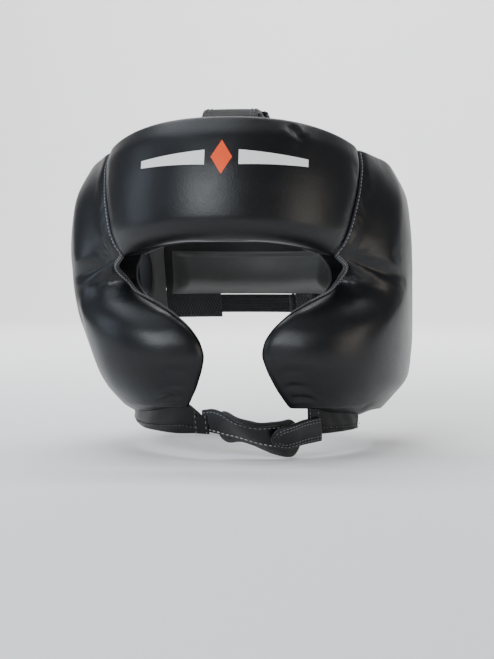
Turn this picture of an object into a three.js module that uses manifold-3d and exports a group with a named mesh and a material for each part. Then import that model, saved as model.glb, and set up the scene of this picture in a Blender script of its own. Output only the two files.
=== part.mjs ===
// Boxing headgear with cheek guards, as an assembly of its sewn and fastened pieces.
// Millimetres, +Z up. The wearer looks along -Y, so the wearer's left is +X.
// The origin is on the ground under the middle of the head.
import * as THREE from "three";
import { mergeVertices } from "three/addons/utils/BufferGeometryUtils.js";
import Module from "manifold-3d";

const wasm = await Module();
wasm.setup();

// ---------------------------------------------------------------- driving dimensions
const HEAD_HALF_WIDTH = 82; // inside of the padding, at the temples
const HEAD_HALF_DEPTH = 98;
const TEMPLE_HEIGHT = 130; // where the head is widest
const CROWN_TAPER = 0.12; // share of its width that the head loses over CROWN_RISE above the temples
const CROWN_RISE = 85;
const JAW_TAPER = 0.06; // the same, over JAW_DROP below the temples
const JAW_DROP = 115;

const LEATHER = 1.6;
const LINING = 1.2;
const GAP = 0.3; // between pieces that touch
const RIM = 6; // least height of a pad where its cover is sewn to its lining

const SEAM_GAP = 3; // between the forehead pad and a cheek pad, for the welt
const WELT = 2.2;
const SEAM_ANGLE_LOW = 43; // the temple seam, in degrees from straight ahead
const SEAM_ANGLE_HIGH = 60;
const BROW_SIDE = 133; // height of the forehead pad's lower edge at the seam, and in the middle
const BROW_MIDDLE = 141;
const FOREHEAD_SIDE = 200; // height of its upper edge
const FOREHEAD_MIDDLE = 217;
const FOREHEAD_THICK = 31;

const CHEEK_THICK = 37;
const JAW_FULL_RIGHT = 0.4; // how full each cheek pad is near its lower edge, as it sits empty
const JAW_FULL_LEFT = 0.8;
const SWAY = 0.075; // lean of everything below the brow towards the wearer's left, per mm of drop
const CHEEK_CHIN_ANGLE = 26; // the cheek pad's lowest front corner
const CHEEK_CHIN_HEIGHT = 38;
const EAR_TOP = 184; // height of the upper edge where the cheek pad meets the ear panel
const PANEL_GAP = 0.8;

const EAR_PANEL_THICK = 12;
const EAR_PANEL_END = 129; // degrees, where the ear panel stops at the back
const EAR_PANEL_END_LOW = 86;
const EAR_PANEL_END_HIGH = 168;
const EAR_HOLE_ANGLE = 112;
const EAR_HOLE_HEIGHT = 124;
const EAR_HOLE_WIDTH = 22;
const EAR_HOLE_TALL = 38;
const EAR_RING_WALL = 2;
const EAR_RING_PROUD = 1;

const REAR_PAD_START = 131.5; // degrees; the rear pad runs from here round to the other side
const REAR_PAD_HIGH = 176;
const REAR_PAD_THICK = 20;

const REAR_STRAP_HEIGHT = 99; // middle of the closure behind the neck
const WEBBING_WIDTH = 21;
const WEBBING_THICK = 2.2;
const WEBBING_START = 121;
const WEBBING_LIFT = 5;
const ELASTIC_WIDTH = 14;
const ELASTIC_THICK = 1.5;
const SEWN_LAP = 9; // degrees of elastic over webbing
const WEBBING_END = 161; // degrees, the sewn end
const BUCKLE_ANGLE = 157; // middle of the buckle
const BUCKLE_SPAN = 14; // between its two bars
const BUCKLE_BAR = 2.2;
const BUCKLE_PLAY = 0.4; // beside the webbing in its window
// The rear pad ends just above the buckle.
const REAR_PAD_LOW = REAR_STRAP_HEIGHT + WEBBING_WIDTH / 2 + BUCKLE_PLAY + BUCKLE_BAR + 0.4;
const BAR_CLEARANCE = 0.35;
const TAB_THICK = 2;
const PATCH = 1.2; // one half of a hook-and-loop pair
const REAR_TAB_END = 196;

const STRAP_THICK = 2.5;
const CROWN_WIDTH = 36;
const CROWN_SEWN = 22; // length of crown strap sewn inside the forehead pad
const CROWN_PEAK = 225;

const FLAP_THICK = 3;
const FLAP_LIFT = 1.5;
const FLAP_REAR_RIGHT = 88; // degrees
const FLAP_REAR_LEFT = 64;
const FLAP_FRONT_RIGHT = 16;
const FLAP_FRONT_LEFT = 33;
const FLAP_LOW = 18;

const CHIN_STRAP_WIDTH = 18;
const CHIN_TAPE_WIDTH = 26;
const CHIN_TAB_WIDTH = 16;

const BINDING_WIDTH = 2.2;
const BINDING_THICK = 3;
const BINDING_GAP = 0.4;

// ---------------------------------------------------------------- materials
const finish = (color, roughness) => new THREE.MeshStandardMaterial({ color, roughness, metalness: 0 });
const blackLeather = finish(0x15161a, 0.42);
const foam = finish(0x3a3a3c, 0.95);
const liningCloth = finish(0x101113, 0.8);
const bindingTape = finish(0x0c0d10, 0.7);
const webbingBlack = finish(0x121314, 0.85);
const elasticBlack = finish(0x161718, 0.8);
const hookTape = finish(0x0e0e10, 0.9);
const plasticBlack = finish(0x0b0b0c, 0.35);

const headgear = new THREE.Group();
const add = (name, geometry, material) => {
  const leaning = geometry.clone();
  const at = leaning.attributes.position;
  for (let i = 0; i < at.count; i++) at.setX(i, at.getX(i) + SWAY * Math.max(0, BROW_SIDE - at.getZ(i)));
  leaning.computeVertexNormals();
  const mesh = new THREE.Mesh(leaning, material);
  mesh.name = name;
  headgear.add(mesh);
};

// ---------------------------------------------------------------- small helpers
const rad = THREE.MathUtils.degToRad;
const mix = THREE.MathUtils.lerp;
const ease = THREE.MathUtils.smoothstep;

// The function that joins the points [[x, y], ...] with straight lines.
const through = (points) => (x) => {
  const next = points.findIndex(([px]) => px >= x);
  if (next === 0) return points[0][1];
  if (next < 0) return points.at(-1)[1];
  const [[x0, y0], [x1, y1]] = [points[next - 1], points[next]];
  return mix(y0, y1, (x - x0) / (x1 - x0));
};

// Half the head's width or depth at a height, as a share of the most.
const headShare = (z) => {
  const above = Math.max(0, z - TEMPLE_HEIGHT) / CROWN_RISE;
  const below = Math.max(0, TEMPLE_HEIGHT - z) / JAW_DROP;
  return 1 - CROWN_TAPER * above ** 2 - JAW_TAPER * below ** 2;
};

// A point at an angle round the head, a height, and a distance out from it.
const onHead = (degrees, z, out = 0) => {
  const [a, b] = [HEAD_HALF_WIDTH * headShare(z), HEAD_HALF_DEPTH * headShare(z)];
  const [s, c] = [Math.sin(rad(degrees)), Math.cos(rad(degrees))];
  const normal = new THREE.Vector3(s / a, -c / b, 0).normalize();
  return new THREE.Vector3(a * s, -b * c, z).addScaledVector(normal, out);
};

// Millimetres along the head for one degree.
const arc = (degrees, z) => onHead(degrees + 0.5, z).distanceTo(onHead(degrees - 0.5, z));

// A closed body whose corner at (u, v, w), each from 0 to 1, is where place puts it.
const warped = (cellsU, cellsV, place) => {
  const box = new THREE.BoxGeometry(1, 1, 1, cellsU, cellsV, 1);
  const at = box.attributes.position;
  for (let i = 0; i < at.count; i++) {
    const p = place(at.getX(i) + 0.5, at.getY(i) + 0.5, at.getZ(i) + 0.5);
    at.setXYZ(i, p.x, p.y, p.z);
  }
  box.computeVertexNormals();
  return box;
};

const mirrored = (geometry) => {
  const flipped = geometry.clone().scale(-1, 1, 1);
  const index = flipped.index.array;
  for (let i = 0; i < index.length; i += 3) [index[i + 1], index[i + 2]] = [index[i + 2], index[i + 1]];
  return flipped;
};

const toSolid = (geometry) => {
  const bare = geometry.clone();
  bare.deleteAttribute("normal");
  bare.deleteAttribute("uv");
  const merged = mergeVertices(bare, 1e-3);
  return new wasm.Manifold(
    new wasm.Mesh({
      numProp: 3,
      vertProperties: new Float32Array(merged.attributes.position.array),
      triVerts: new Uint32Array(merged.index.array),
    }),
  );
};

const toGeometry = (solid) => {
  const mesh = solid.getMesh();
  const geometry = new THREE.BufferGeometry();
  geometry.setAttribute("position", new THREE.BufferAttribute(new Float32Array(mesh.vertProperties), 3));
  geometry.setIndex(new THREE.BufferAttribute(new Uint32Array(mesh.triVerts), 1));
  geometry.computeVertexNormals();
  return geometry;
};

// ---------------------------------------------------------------- pads
// A pad is a patch of the head: angle(u, v) and height(u, v) place it, and thick(u, v) is its outer
// face's distance from the head. Its layers share one grid, so that they lie parallel.
const pad = ({ cellsU, cellsV, width, tall, angle, height, thick }) => {
  const nodes = Array.from({ length: cellsV + 1 }, (_, j) =>
    Array.from({ length: cellsU + 1 }, (_, i) => thick(i / cellsU, j / cellsV)),
  );
  const facetThick = (u, v) => {
    const [x, y] = [u * cellsU, v * cellsV];
    const [i, j] = [Math.min(Math.floor(x), cellsU - 1), Math.min(Math.floor(y), cellsV - 1)];
    const low = mix(nodes[j][i], nodes[j][i + 1], x - i);
    return mix(low, mix(nodes[j + 1][i], nodes[j + 1][i + 1], x - i), y - j);
  };
  // The layer between two faces, each a function of the pad's thickness, with its edges moved in.
  const layer = (inset, inner, outer) =>
    warped(cellsU, cellsV, (u, v, w) => {
      const [du, dv] = [inset / width, inset / tall];
      const clampedU = THREE.MathUtils.clamp(u, du, 1 - du);
      const clampedV = THREE.MathUtils.clamp(v, dv, 1 - dv);
      const full = facetThick(clampedU, clampedV);
      const out = w > 0.5 ? outer(full) : inner(full);
      return onHead(angle(clampedU, clampedV), height(clampedU, clampedV), out);
    });
  const body = toSolid(layer(0, () => LINING + GAP, (full) => full));
  const hollow = toSolid(layer(LEATHER, () => 0, (full) => full - LEATHER));
  return {
    cover: toGeometry(body.subtract(hollow)),
    foam: layer(LEATHER + GAP, () => LINING + 2 * GAP, (full) => full - LEATHER - GAP),
    lining: layer(0, () => 0, () => LINING),
  };
};

const seamAngle = (z) =>
  mix(SEAM_ANGLE_LOW, SEAM_ANGLE_HIGH, (z - BROW_SIDE) / (FOREHEAD_SIDE - BROW_SIDE));

// The forehead pad, from temple seam to temple seam.
const foreheadProfile = through([[0, 0.3], [0.14, 0.78], [0.29, 1], [0.57, 0.98], [0.86, 0.88], [1, 0.7]]);
const foreheadHeight = (u, v) => {
  const side = Math.abs(2 * u - 1) ** 2.4;
  return mix(mix(BROW_MIDDLE, BROW_SIDE, side), mix(FOREHEAD_MIDDLE, FOREHEAD_SIDE, side), v);
};
const forehead = pad({
  cellsU: 14,
  cellsV: 7,
  width: 160,
  tall: FOREHEAD_MIDDLE - BROW_MIDDLE,
  height: foreheadHeight,
  angle: (u, v) => {
    const z = mix(BROW_SIDE, FOREHEAD_SIDE, v);
    const edge = seamAngle(z) - SEAM_GAP / 2 / arc(SEAM_ANGLE_LOW, z);
    return mix(-edge, edge, u);
  },
  thick: (u, v) => FOREHEAD_THICK * foreheadProfile(v) * (1 - 0.2 * Math.abs(2 * u - 1) ** 4),
});
add("forehead_cover", forehead.cover, blackLeather);
add("forehead_foam", forehead.foam, foam);
add("forehead_lining", forehead.lining, liningCloth);

// The cheek pads. Their front edge runs down the temple seam, back round the eye and forward again
// over the cheek; their back edge runs down in front of the ear and back under it.
const CHEEK_ROWS = 16;
const cheekFront = through([
  [CHEEK_CHIN_HEIGHT, CHEEK_CHIN_ANGLE], [48, 20.5], [59, 17], [69, 15], [78, 16.5], [87, 21],
  [96, 29], [102, 37], [108, 45], [116, 50], [125, 49], [BROW_SIDE, SEAM_ANGLE_LOW],
  [FOREHEAD_SIDE, SEAM_ANGLE_HIGH],
]);
const cheekBack = through([[36, 114], [70, 113], [88, 106], [104, 98.5], [124, 97], [EAR_TOP, 97]]);
const cheekBottom = through([[0, CHEEK_CHIN_HEIGHT], [0.2, 30], [0.45, 26], [0.75, 28], [1, 36]]);
const cheekTop = through([[0, FOREHEAD_SIDE], [0.5, 196], [1, EAR_TOP]]);
const cheekHeight = (u, v) => mix(cheekBottom(u), cheekTop(u), v);
const cheekInFront = through([[0, 0.15], [0.06, 0.55], [0.18, 0.88], [0.35, 1], [0.85, 0.95], [1, 0.55]]);
const cheekAtSide = (full) =>
  through([
    [0, full / 4], [0.12, full], [0.3, 0.55 + 0.45 * full], [0.5, 0.94], [0.7, 1], [0.9, 0.97], [1, 0.72],
  ]);
const cheekThick = (full) => (u, v) => {
  const z = cheekHeight(0, v);
  const frontEdge = mix(0.08, 0.72, ease(z, 112, 138));
  const fromFront = mix(frontEdge, 1, Math.sin((Math.PI / 2) * Math.min(1, u / 0.35)) ** 0.7);
  const fromBack = mix(0.3, 1, Math.sin((Math.PI / 2) * Math.min(1, (1 - u) / 0.25)) ** 0.7);
  const share = mix(cheekInFront(v), cheekAtSide(full)(v), ease(u, 0.3, 0.7));
  return RIM + (CHEEK_THICK - RIM) * fromFront * fromBack * share;
};
const cheekPad = (full) =>
  pad({
    cellsU: 9,
    cellsV: CHEEK_ROWS,
    width: 110,
    tall: FOREHEAD_SIDE - CHEEK_CHIN_HEIGHT,
    height: cheekHeight,
    angle: (u, v) => {
      const [zFront, zBack] = [cheekHeight(0, v), cheekHeight(1, v)];
      const seam = SEAM_GAP / 2 / arc(SEAM_ANGLE_LOW, zFront);
      return mix(cheekFront(zFront) + seam, cheekBack(zBack), u);
    },
    thick: cheekThick(full),
  });
const cheekLeft = cheekPad(JAW_FULL_LEFT);
const cheekRight = cheekPad(JAW_FULL_RIGHT);
add("cheek_cover_left", cheekLeft.cover, blackLeather);
add("cheek_cover_right", mirrored(cheekRight.cover), blackLeather);
add("cheek_foam_left", cheekLeft.foam, foam);
add("cheek_foam_right", mirrored(cheekRight.foam), foam);
add("cheek_lining_left", cheekLeft.lining, liningCloth);
add("cheek_lining_right", mirrored(cheekRight.lining), liningCloth);

// The welt that stands in each temple seam.
const weltTop = (z) => FOREHEAD_THICK * foreheadProfile((z - BROW_SIDE) / (FOREHEAD_SIDE - BROW_SIDE)) * 0.8;
const templeWelt = warped(1, 8, (u, v, w) => {
  const z = mix(BROW_SIDE + 1, FOREHEAD_SIDE, v);
  const across = ((u - 0.5) * WELT) / arc(SEAM_ANGLE_LOW, z);
  return onHead(seamAngle(z) + across, z, w > 0.5 ? weltTop(z) + 1 : LINING);
});

// The binding tape along the eye and cheek edge.
const BINDING_ROWS = 8.5;
const cheekRow = (row) => {
  const z = mix(CHEEK_CHIN_HEIGHT, FOREHEAD_SIDE, row / CHEEK_ROWS);
  return [cheekFront(z) + SEAM_GAP / 2 / arc(SEAM_ANGLE_LOW, z), z];
};
const cheekEdge = (row) => {
  const [[degrees, z], [nextDegrees, nextZ]] = [cheekRow(Math.floor(row)), cheekRow(Math.floor(row) + 1)];
  const share = row - Math.floor(row);
  const at = [mix(degrees, nextDegrees, share), mix(z, nextZ, share)];
  return new THREE.Vector2(at[0] * arc(at[0], at[1]), at[1]);
};
const eyeBinding = warped(16, 1, (u, v, w) => {
  const row = mix(BINDING_ROWS, 0.5, u);
  const tangent = cheekEdge(row - 0.25).sub(cheekEdge(row + 0.25)).normalize();
  const away = new THREE.Vector2(tangent.y, -tangent.x);
  const p = cheekEdge(row).addScaledVector(away, BINDING_GAP + BINDING_WIDTH * (1 - v));
  const degrees = p.x / arc(p.x / 1.5, p.y);
  return onHead(degrees, p.y, w * BINDING_THICK);
});

// ---------------------------------------------------------------- ear panels
const earPanelTop = through([[0, EAR_TOP], [1, EAR_PANEL_END_HIGH]]);
const earPanelBottom = through([
  [0, cheekHeight(1, 2 / CHEEK_ROWS)], [0.5, 68], [1, EAR_PANEL_END_LOW],
]);
// Its rows meet the cheek pad's, so that the two edges run together.
const earPanelLayer = (inner, outer) =>
  warped(6, CHEEK_ROWS - 2, (u, v, w) => {
    const front = mix(earPanelBottom(0), EAR_TOP, v);
    const start = cheekBack(front) + PANEL_GAP / arc(100, front);
    const z = mix(earPanelBottom(u), earPanelTop(u), v);
    return onHead(mix(start, EAR_PANEL_END, u), z, w > 0.5 ? outer : inner);
  });

// An upright oval bar that points out of the head through the ear, from one distance to another.
const earOval = (grow, from, to) => {
  const shape = new THREE.Shape();
  shape.absellipse(0, 0, EAR_HOLE_WIDTH / 2 + grow, EAR_HOLE_TALL / 2 + grow, 0, 2 * Math.PI);
  const bar = new THREE.ExtrudeGeometry(shape, { depth: to - from, bevelEnabled: false, curveSegments: 10 });
  const base = onHead(EAR_HOLE_ANGLE, EAR_HOLE_HEIGHT, from);
  const out = onHead(EAR_HOLE_ANGLE, EAR_HOLE_HEIGHT, to).sub(base).normalize();
  const up = new THREE.Vector3(0, 0, 1);
  const side = new THREE.Vector3().crossVectors(up, out);
  return bar.applyMatrix4(new THREE.Matrix4().makeBasis(side, up, out).setPosition(base));
};
const earHole = toSolid(earOval(0, -20, EAR_PANEL_THICK + 20));
const earPanel = toGeometry(toSolid(earPanelLayer(LINING + GAP, EAR_PANEL_THICK)).subtract(earHole));
const earLining = toGeometry(toSolid(earPanelLayer(0, LINING)).subtract(earHole));
const earRing = toGeometry(
  toSolid(earOval(-GAP, 0, EAR_PANEL_THICK + EAR_RING_PROUD)).subtract(
    toSolid(earOval(-GAP - EAR_RING_WALL, -20, EAR_PANEL_THICK + 20)),
  ),
);

// ---------------------------------------------------------------- jaw flaps
const flap = (front, rear) =>
  warped(12, 1, (u, v, w) => {
    const degrees = mix(front, rear, u);
    const under = (degrees - CHEEK_CHIN_ANGLE) / (cheekBack(36) - CHEEK_CHIN_ANGLE);
    const top = under < 0 ? mix(CHEEK_CHIN_HEIGHT, 31, -under / 0.14) - 1 : cheekBottom(under) - PANEL_GAP;
    const low = through([[14, FLAP_LOW + 2], [30, FLAP_LOW], [60, FLAP_LOW], [86, FLAP_LOW + 4]])(degrees);
    return onHead(degrees, mix(low, top, v), FLAP_LIFT + w * FLAP_THICK);
  });

// The paired pieces: built on the wearer's left, and mirrored for the right.
const paired = {
  temple_welt: [templeWelt, bindingTape],
  eye_binding: [eyeBinding, bindingTape],
  ear_panel: [earPanel, blackLeather],
  ear_lining: [earLining, liningCloth],
  ear_ring: [earRing, bindingTape],
};
for (const [name, [geometry, material]] of Object.entries(paired)) {
  add(`${name}_left`, geometry, material);
  add(`${name}_right`, mirrored(geometry), material);
}
add("jaw_flap_left", flap(FLAP_FRONT_LEFT, FLAP_REAR_LEFT), blackLeather);
add("jaw_flap_right", mirrored(flap(FLAP_FRONT_RIGHT, FLAP_REAR_RIGHT)), blackLeather);

// ---------------------------------------------------------------- rear pad
const boxy = through([[0, 0.6], [0.12, 0.95], [0.5, 1], [0.88, 0.95], [1, 0.6]]);
const rearThick = (u, v) => REAR_PAD_THICK * boxy(u) * boxy(v);
const rearPad = pad({
  cellsU: 10,
  cellsV: 6,
  width: 150,
  tall: REAR_PAD_HIGH - REAR_PAD_LOW,
  angle: (u) => mix(REAR_PAD_START, 360 - REAR_PAD_START, u),
  height: (u, v) => mix(REAR_PAD_LOW, REAR_PAD_HIGH, v),
  thick: rearThick,
});
add("rear_pad_cover", rearPad.cover, blackLeather);
add("rear_pad_foam", rearPad.foam, foam);
add("rear_pad_lining", rearPad.lining, liningCloth);

// ---------------------------------------------------------------- straps
// A strap that runs round the head between two angles, with its middle at one height.
const roundStrap = (cells, from, to, z, width, lift, thick) =>
  warped(cells, 1, (u, v, w) => {
    const degrees = mix(from, to, u);
    return onHead(degrees, z + (v - 0.5) * width, lift(degrees) + w * thick);
  });

// The buckle stands on the webbing: x runs round the head, y out of it, z up.
const eyeInner = (BUCKLE_BAR / 2) * Math.SQRT2 + BAR_CLEARANCE;
const eyeOuter = eyeInner + ELASTIC_THICK;
const elasticLift = WEBBING_LIFT + WEBBING_THICK + GAP;
const buckleLift = elasticLift + ELASTIC_THICK - eyeOuter;
const buckleHalfAngle = BUCKLE_SPAN / 2 / arc(BUCKLE_ANGLE, REAR_STRAP_HEIGHT);
const barAt = (side) => onHead(BUCKLE_ANGLE + side * buckleHalfAngle, REAR_STRAP_HEIGHT, buckleLift);
const buckleFrame = () => {
  const [near, far] = [barAt(-1), barAt(1)];
  const along = far.clone().sub(near).normalize();
  const up = new THREE.Vector3(0, 0, 1);
  const out = new THREE.Vector3().crossVectors(along, up);
  return new THREE.Matrix4().makeBasis(along, up, out).setPosition(near.add(far).multiplyScalar(0.5));
};
const rectangle = (shape, halfX, halfY) => {
  shape.moveTo(-halfX, -halfY);
  shape.lineTo(halfX, -halfY);
  shape.lineTo(halfX, halfY);
  shape.lineTo(-halfX, halfY);
  shape.closePath();
  return shape;
};
const span = barAt(-1).distanceTo(barAt(1)) / 2;
const windowHalf = WEBBING_WIDTH / 2 + BUCKLE_PLAY;
const buckleShape = rectangle(new THREE.Shape(), span + BUCKLE_BAR / 2, windowHalf + BUCKLE_BAR);
buckleShape.holes.push(rectangle(new THREE.Path(), span - BUCKLE_BAR / 2, windowHalf));
const buckle = new THREE.ExtrudeGeometry(buckleShape, { depth: BUCKLE_BAR, bevelEnabled: false });
buckle.translate(0, 0, -BUCKLE_BAR / 2).applyMatrix4(buckleFrame());
add("rear_buckle", buckle, plasticBlack);

// The eye that a strap makes round a buckle bar, as wide as the strap.
const upright = (radius, height, centre) =>
  toSolid(
    new THREE.CylinderGeometry(radius, radius, height, 16)
      .rotateX(Math.PI / 2)
      .translate(centre.x, centre.y, centre.z),
  );
const withEye = (strap, width, centre) =>
  toGeometry(
    toSolid(strap).add(upright(eyeOuter, width, centre)).subtract(upright(eyeInner, width + 20, centre)),
  );

const leftBar = BUCKLE_ANGLE - buckleHalfAngle;
const rightBar = BUCKLE_ANGLE + buckleHalfAngle;
const overEar = EAR_PANEL_THICK + 1.5 * GAP;
const rightLift = through([[WEBBING_START, overEar], [EAR_PANEL_END + 1.5, overEar],
  [EAR_PANEL_END + 14, WEBBING_LIFT], [WEBBING_END, WEBBING_LIFT]]);
const barLift = buckleLift + eyeOuter - WEBBING_THICK;
const leftLift = through([[WEBBING_START, overEar], [EAR_PANEL_END + 1.5, overEar],
  [EAR_PANEL_END + 12, barLift + 1], [leftBar, barLift]]);
add(
  "rear_webbing_left",
  withEye(
    roundStrap(12, WEBBING_START, leftBar, REAR_STRAP_HEIGHT, WEBBING_WIDTH, leftLift, WEBBING_THICK),
    WEBBING_WIDTH,
    barAt(-1),
  ),
  webbingBlack,
);
add(
  "rear_webbing_right",
  mirrored(
    roundStrap(12, WEBBING_START, WEBBING_END, REAR_STRAP_HEIGHT, WEBBING_WIDTH, rightLift, WEBBING_THICK),
  ),
  webbingBlack,
);

const elasticEnd = 360 - WEBBING_END + SEWN_LAP;
add(
  "rear_elastic",
  withEye(
    roundStrap(16, rightBar, elasticEnd, REAR_STRAP_HEIGHT, ELASTIC_WIDTH, () => elasticLift, ELASTIC_THICK),
    ELASTIC_WIDTH,
    barAt(1),
  ),
  elasticBlack,
);
const loopLift = elasticLift + ELASTIC_THICK + GAP;
const hookLift = loopLift + PATCH + GAP;
const tabLift = hookLift + PATCH + GAP;
const closureStart = rightBar + 8;
const tabRoot = rightBar + 3; // where the tab folds back off the elastic
const tabRise = through([
  [tabRoot, elasticLift + ELASTIC_THICK + GAP], [closureStart - 2, tabLift], [REAR_TAB_END, tabLift],
]);
const closure = (lift, end) =>
  roundStrap(10, closureStart, end, REAR_STRAP_HEIGHT, ELASTIC_WIDTH - 1, () => lift, PATCH);
add("rear_loop_patch", closure(loopLift, REAR_TAB_END + 4), hookTape);
add("rear_hook_patch", closure(hookLift, REAR_TAB_END - 3), hookTape);
add(
  "rear_strap_tab",
  roundStrap(12, tabRoot, REAR_TAB_END, REAR_STRAP_HEIGHT, ELASTIC_WIDTH, tabRise, TAB_THICK),
  blackLeather,
);

// A strap along a curve: across is the strap's width direction at each place, and it lies `lift`
// out from the curve.
const ribbon = ({ curve, from, to, cells, width, lift, thick, across, shift = 0 }) =>
  warped(cells, 4, (u, v, w) => {
    const t = mix(from, to, u);
    const side = across(t);
    const out = new THREE.Vector3().crossVectors(curve.getTangentAt(t), side).normalize();
    return curve
      .getPointAt(t)
      .addScaledVector(side, (v - 0.5) * width + shift)
      .addScaledVector(out, lift + w * thick);
  });

// The crown strap: a front half sewn inside the forehead pad, and a rear half that folds down over it.
const liningY = (z) => -HEAD_HALF_DEPTH * headShare(z);
const crownSag = (z) => {
  const edge = Math.asin(CROWN_WIDTH / 2 / (HEAD_HALF_WIDTH * headShare(z)));
  return HEAD_HALF_DEPTH * headShare(z) * (1 - Math.cos(edge));
};
const sewnIn = crownSag(FOREHEAD_SIDE) + STRAP_THICK + 4 * GAP; // a flat strap's stand-off at its middle
const rearFace = HEAD_HALF_DEPTH * headShare(REAR_PAD_HIGH) + REAR_PAD_THICK * 0.95;
const crownLoopLift = STRAP_THICK + GAP;
const crownHookLift = crownLoopLift + PATCH + GAP;
const crownRearLift = crownHookLift + PATCH + GAP;
// The straps' paths are set out for a head 98 mm deep by 82 mm to each side, and stretch with it.
const deeper = HEAD_HALF_DEPTH / 98;
const wider = HEAD_HALF_WIDTH / 82;
const crownLine = new THREE.CatmullRomCurve3(
  [
    [liningY(FOREHEAD_SIDE - CROWN_SEWN / 2) + sewnIn, FOREHEAD_SIDE - CROWN_SEWN / 2],
    [liningY(FOREHEAD_SIDE + CROWN_SEWN / 2) + sewnIn, FOREHEAD_SIDE + CROWN_SEWN / 2],
    [-68 * deeper, CROWN_PEAK - 2],
    [-28 * deeper, CROWN_PEAK],
    [15 * deeper, CROWN_PEAK],
    [55 * deeper, CROWN_PEAK - 9],
    [87 * deeper, CROWN_PEAK - 25],
    [rearFace + GAP - crownRearLift, REAR_PAD_HIGH + 8],
    [rearFace + GAP - crownRearLift, REAR_PAD_HIGH - 2 + GAP],
  ].map(([y, z]) => new THREE.Vector3(0, y, z)),
);
const crownAcross = () => new THREE.Vector3(-1, 0, 0);
const crown = (from, to, cells, lift, thick, width = CROWN_WIDTH) =>
  ribbon({ curve: crownLine, from, to, cells, width, lift, thick, across: crownAcross });
const CROWN_LAP = [0.46, 0.68];
add("crown_strap_front", crown(0, CROWN_LAP[1], 14, 0, STRAP_THICK), blackLeather);
const crownPatch = (from, to, lift) => crown(from, to, 6, lift, PATCH, CROWN_WIDTH - 6);
add("crown_loop_patch", crownPatch(CROWN_LAP[0], CROWN_LAP[1] - 0.01, crownLoopLift), hookTape);
add("crown_hook_patch", crownPatch(CROWN_LAP[0] + 0.01, CROWN_LAP[1] - 0.03, crownHookLift), hookTape);
add("crown_strap_rear", crown(CROWN_LAP[0] - 0.01, 1, 14, crownRearLift, STRAP_THICK), blackLeather);

// The sewn root of the rear half, on the outside of the rear pad.
const anchorHalf = CROWN_WIDTH / 2 / arc(180, REAR_PAD_HIGH);
add(
  "crown_strap_anchor",
  warped(6, 4, (u, v, w) => {
    const z = mix(REAR_PAD_HIGH - 26, REAR_PAD_HIGH - 2, v);
    const share = (z - REAR_PAD_LOW) / (REAR_PAD_HIGH - REAR_PAD_LOW);
    const degrees = mix(180 - anchorHalf, 180 + anchorHalf, u);
    return onHead(degrees, z, Math.max(rearThick(0.5, share), rearThick(0.5, 0.88)) + GAP + w * STRAP_THICK);
  }),
  blackLeather,
);

// ---------------------------------------------------------------- chin strap
const CHIN_STEP = 0.05; // the layers' rows fall together, so that they stay parallel as they twist
const CHIN_TAPE_START = 0.1; // shares of the strap's length from its right root
const CHIN_TAPE_END = 0.85;
const CHIN_STRAP_END = 0.7;
const CHIN_TAB_TIP = 0.55;
const CHIN_ROOT_GAP = 0.8;
const CHIN_GAP = 0.6; // between the tape and the leather, which twist
const CHIN_UP = 3.5; // the leather sits this much above the middle of the wider tape
const chinStrapLift = PATCH + CHIN_GAP;
const chinHookLift = chinStrapLift + TAB_THICK + GAP;
const chinTabLift = chinHookLift + PATCH + GAP;
const rootAngle = FLAP_FRONT_RIGHT - CHIN_ROOT_GAP / arc(FLAP_FRONT_RIGHT, FLAP_LOW);
const chinRootRight = onHead(rootAngle, 24.5, FLAP_LIFT + 0.5 - chinStrapLift);
chinRootRight.x *= -1;
const chinRootLeft = onHead(FLAP_FRONT_LEFT + 3, 18.5, FLAP_LIFT + FLAP_THICK + CHIN_ROOT_GAP - chinTabLift);
const chinLine = new THREE.CatmullRomCurve3([
  chinRootRight,
  new THREE.Vector3(-12 * wider, -94.5 * deeper, 25),
  new THREE.Vector3(0, -100 * deeper, 23.5),
  new THREE.Vector3(14 * wider, -100 * deeper, 19.5),
  new THREE.Vector3(26 * wider, -94.5 * deeper, 17),
  new THREE.Vector3(35.5 * wider, -84.5 * deeper, 17.5),
  chinRootLeft,
]);
const chinTilt = through([[0, 5], [0.1, 14], [0.3, 50], [0.45, 46], [0.65, 24], [0.85, 8], [1, 7]]);
const chinAcross = (t) => new THREE.Vector3(0, -Math.sin(rad(chinTilt(t))), Math.cos(rad(chinTilt(t))));
const chin = (from, to, width, lift, thick, shift = 0) =>
  ribbon({
    curve: chinLine,
    from,
    to,
    cells: Math.round((to - from) / CHIN_STEP),
    width,
    lift,
    thick,
    across: chinAcross,
    shift,
  });
add("chin_loop_tape", chin(CHIN_TAPE_START, CHIN_TAPE_END, CHIN_TAPE_WIDTH, 0, PATCH), hookTape);
add(
  "chin_strap_right",
  chin(0, CHIN_STRAP_END, CHIN_STRAP_WIDTH, chinStrapLift, TAB_THICK, CHIN_UP),
  blackLeather,
);
add(
  "chin_hook_patch",
  chin(CHIN_TAB_TIP + CHIN_STEP, CHIN_STRAP_END, CHIN_TAB_WIDTH - 3, chinHookLift, PATCH, CHIN_UP + 0.5),
  hookTape,
);
add(
  "chin_strap_left",
  chin(CHIN_TAB_TIP, 1, CHIN_TAB_WIDTH, chinTabLift, TAB_THICK, CHIN_UP + 0.5),
  blackLeather,
);

// Set it on its origin: the ground under the middle of its box.
const box = new THREE.Box3().setFromObject(headgear);
const middle = box.getCenter(new THREE.Vector3());
for (const mesh of headgear.children) mesh.geometry.translate(-middle.x, -middle.y, -box.min.z);

export default headgear;
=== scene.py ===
import math

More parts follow.
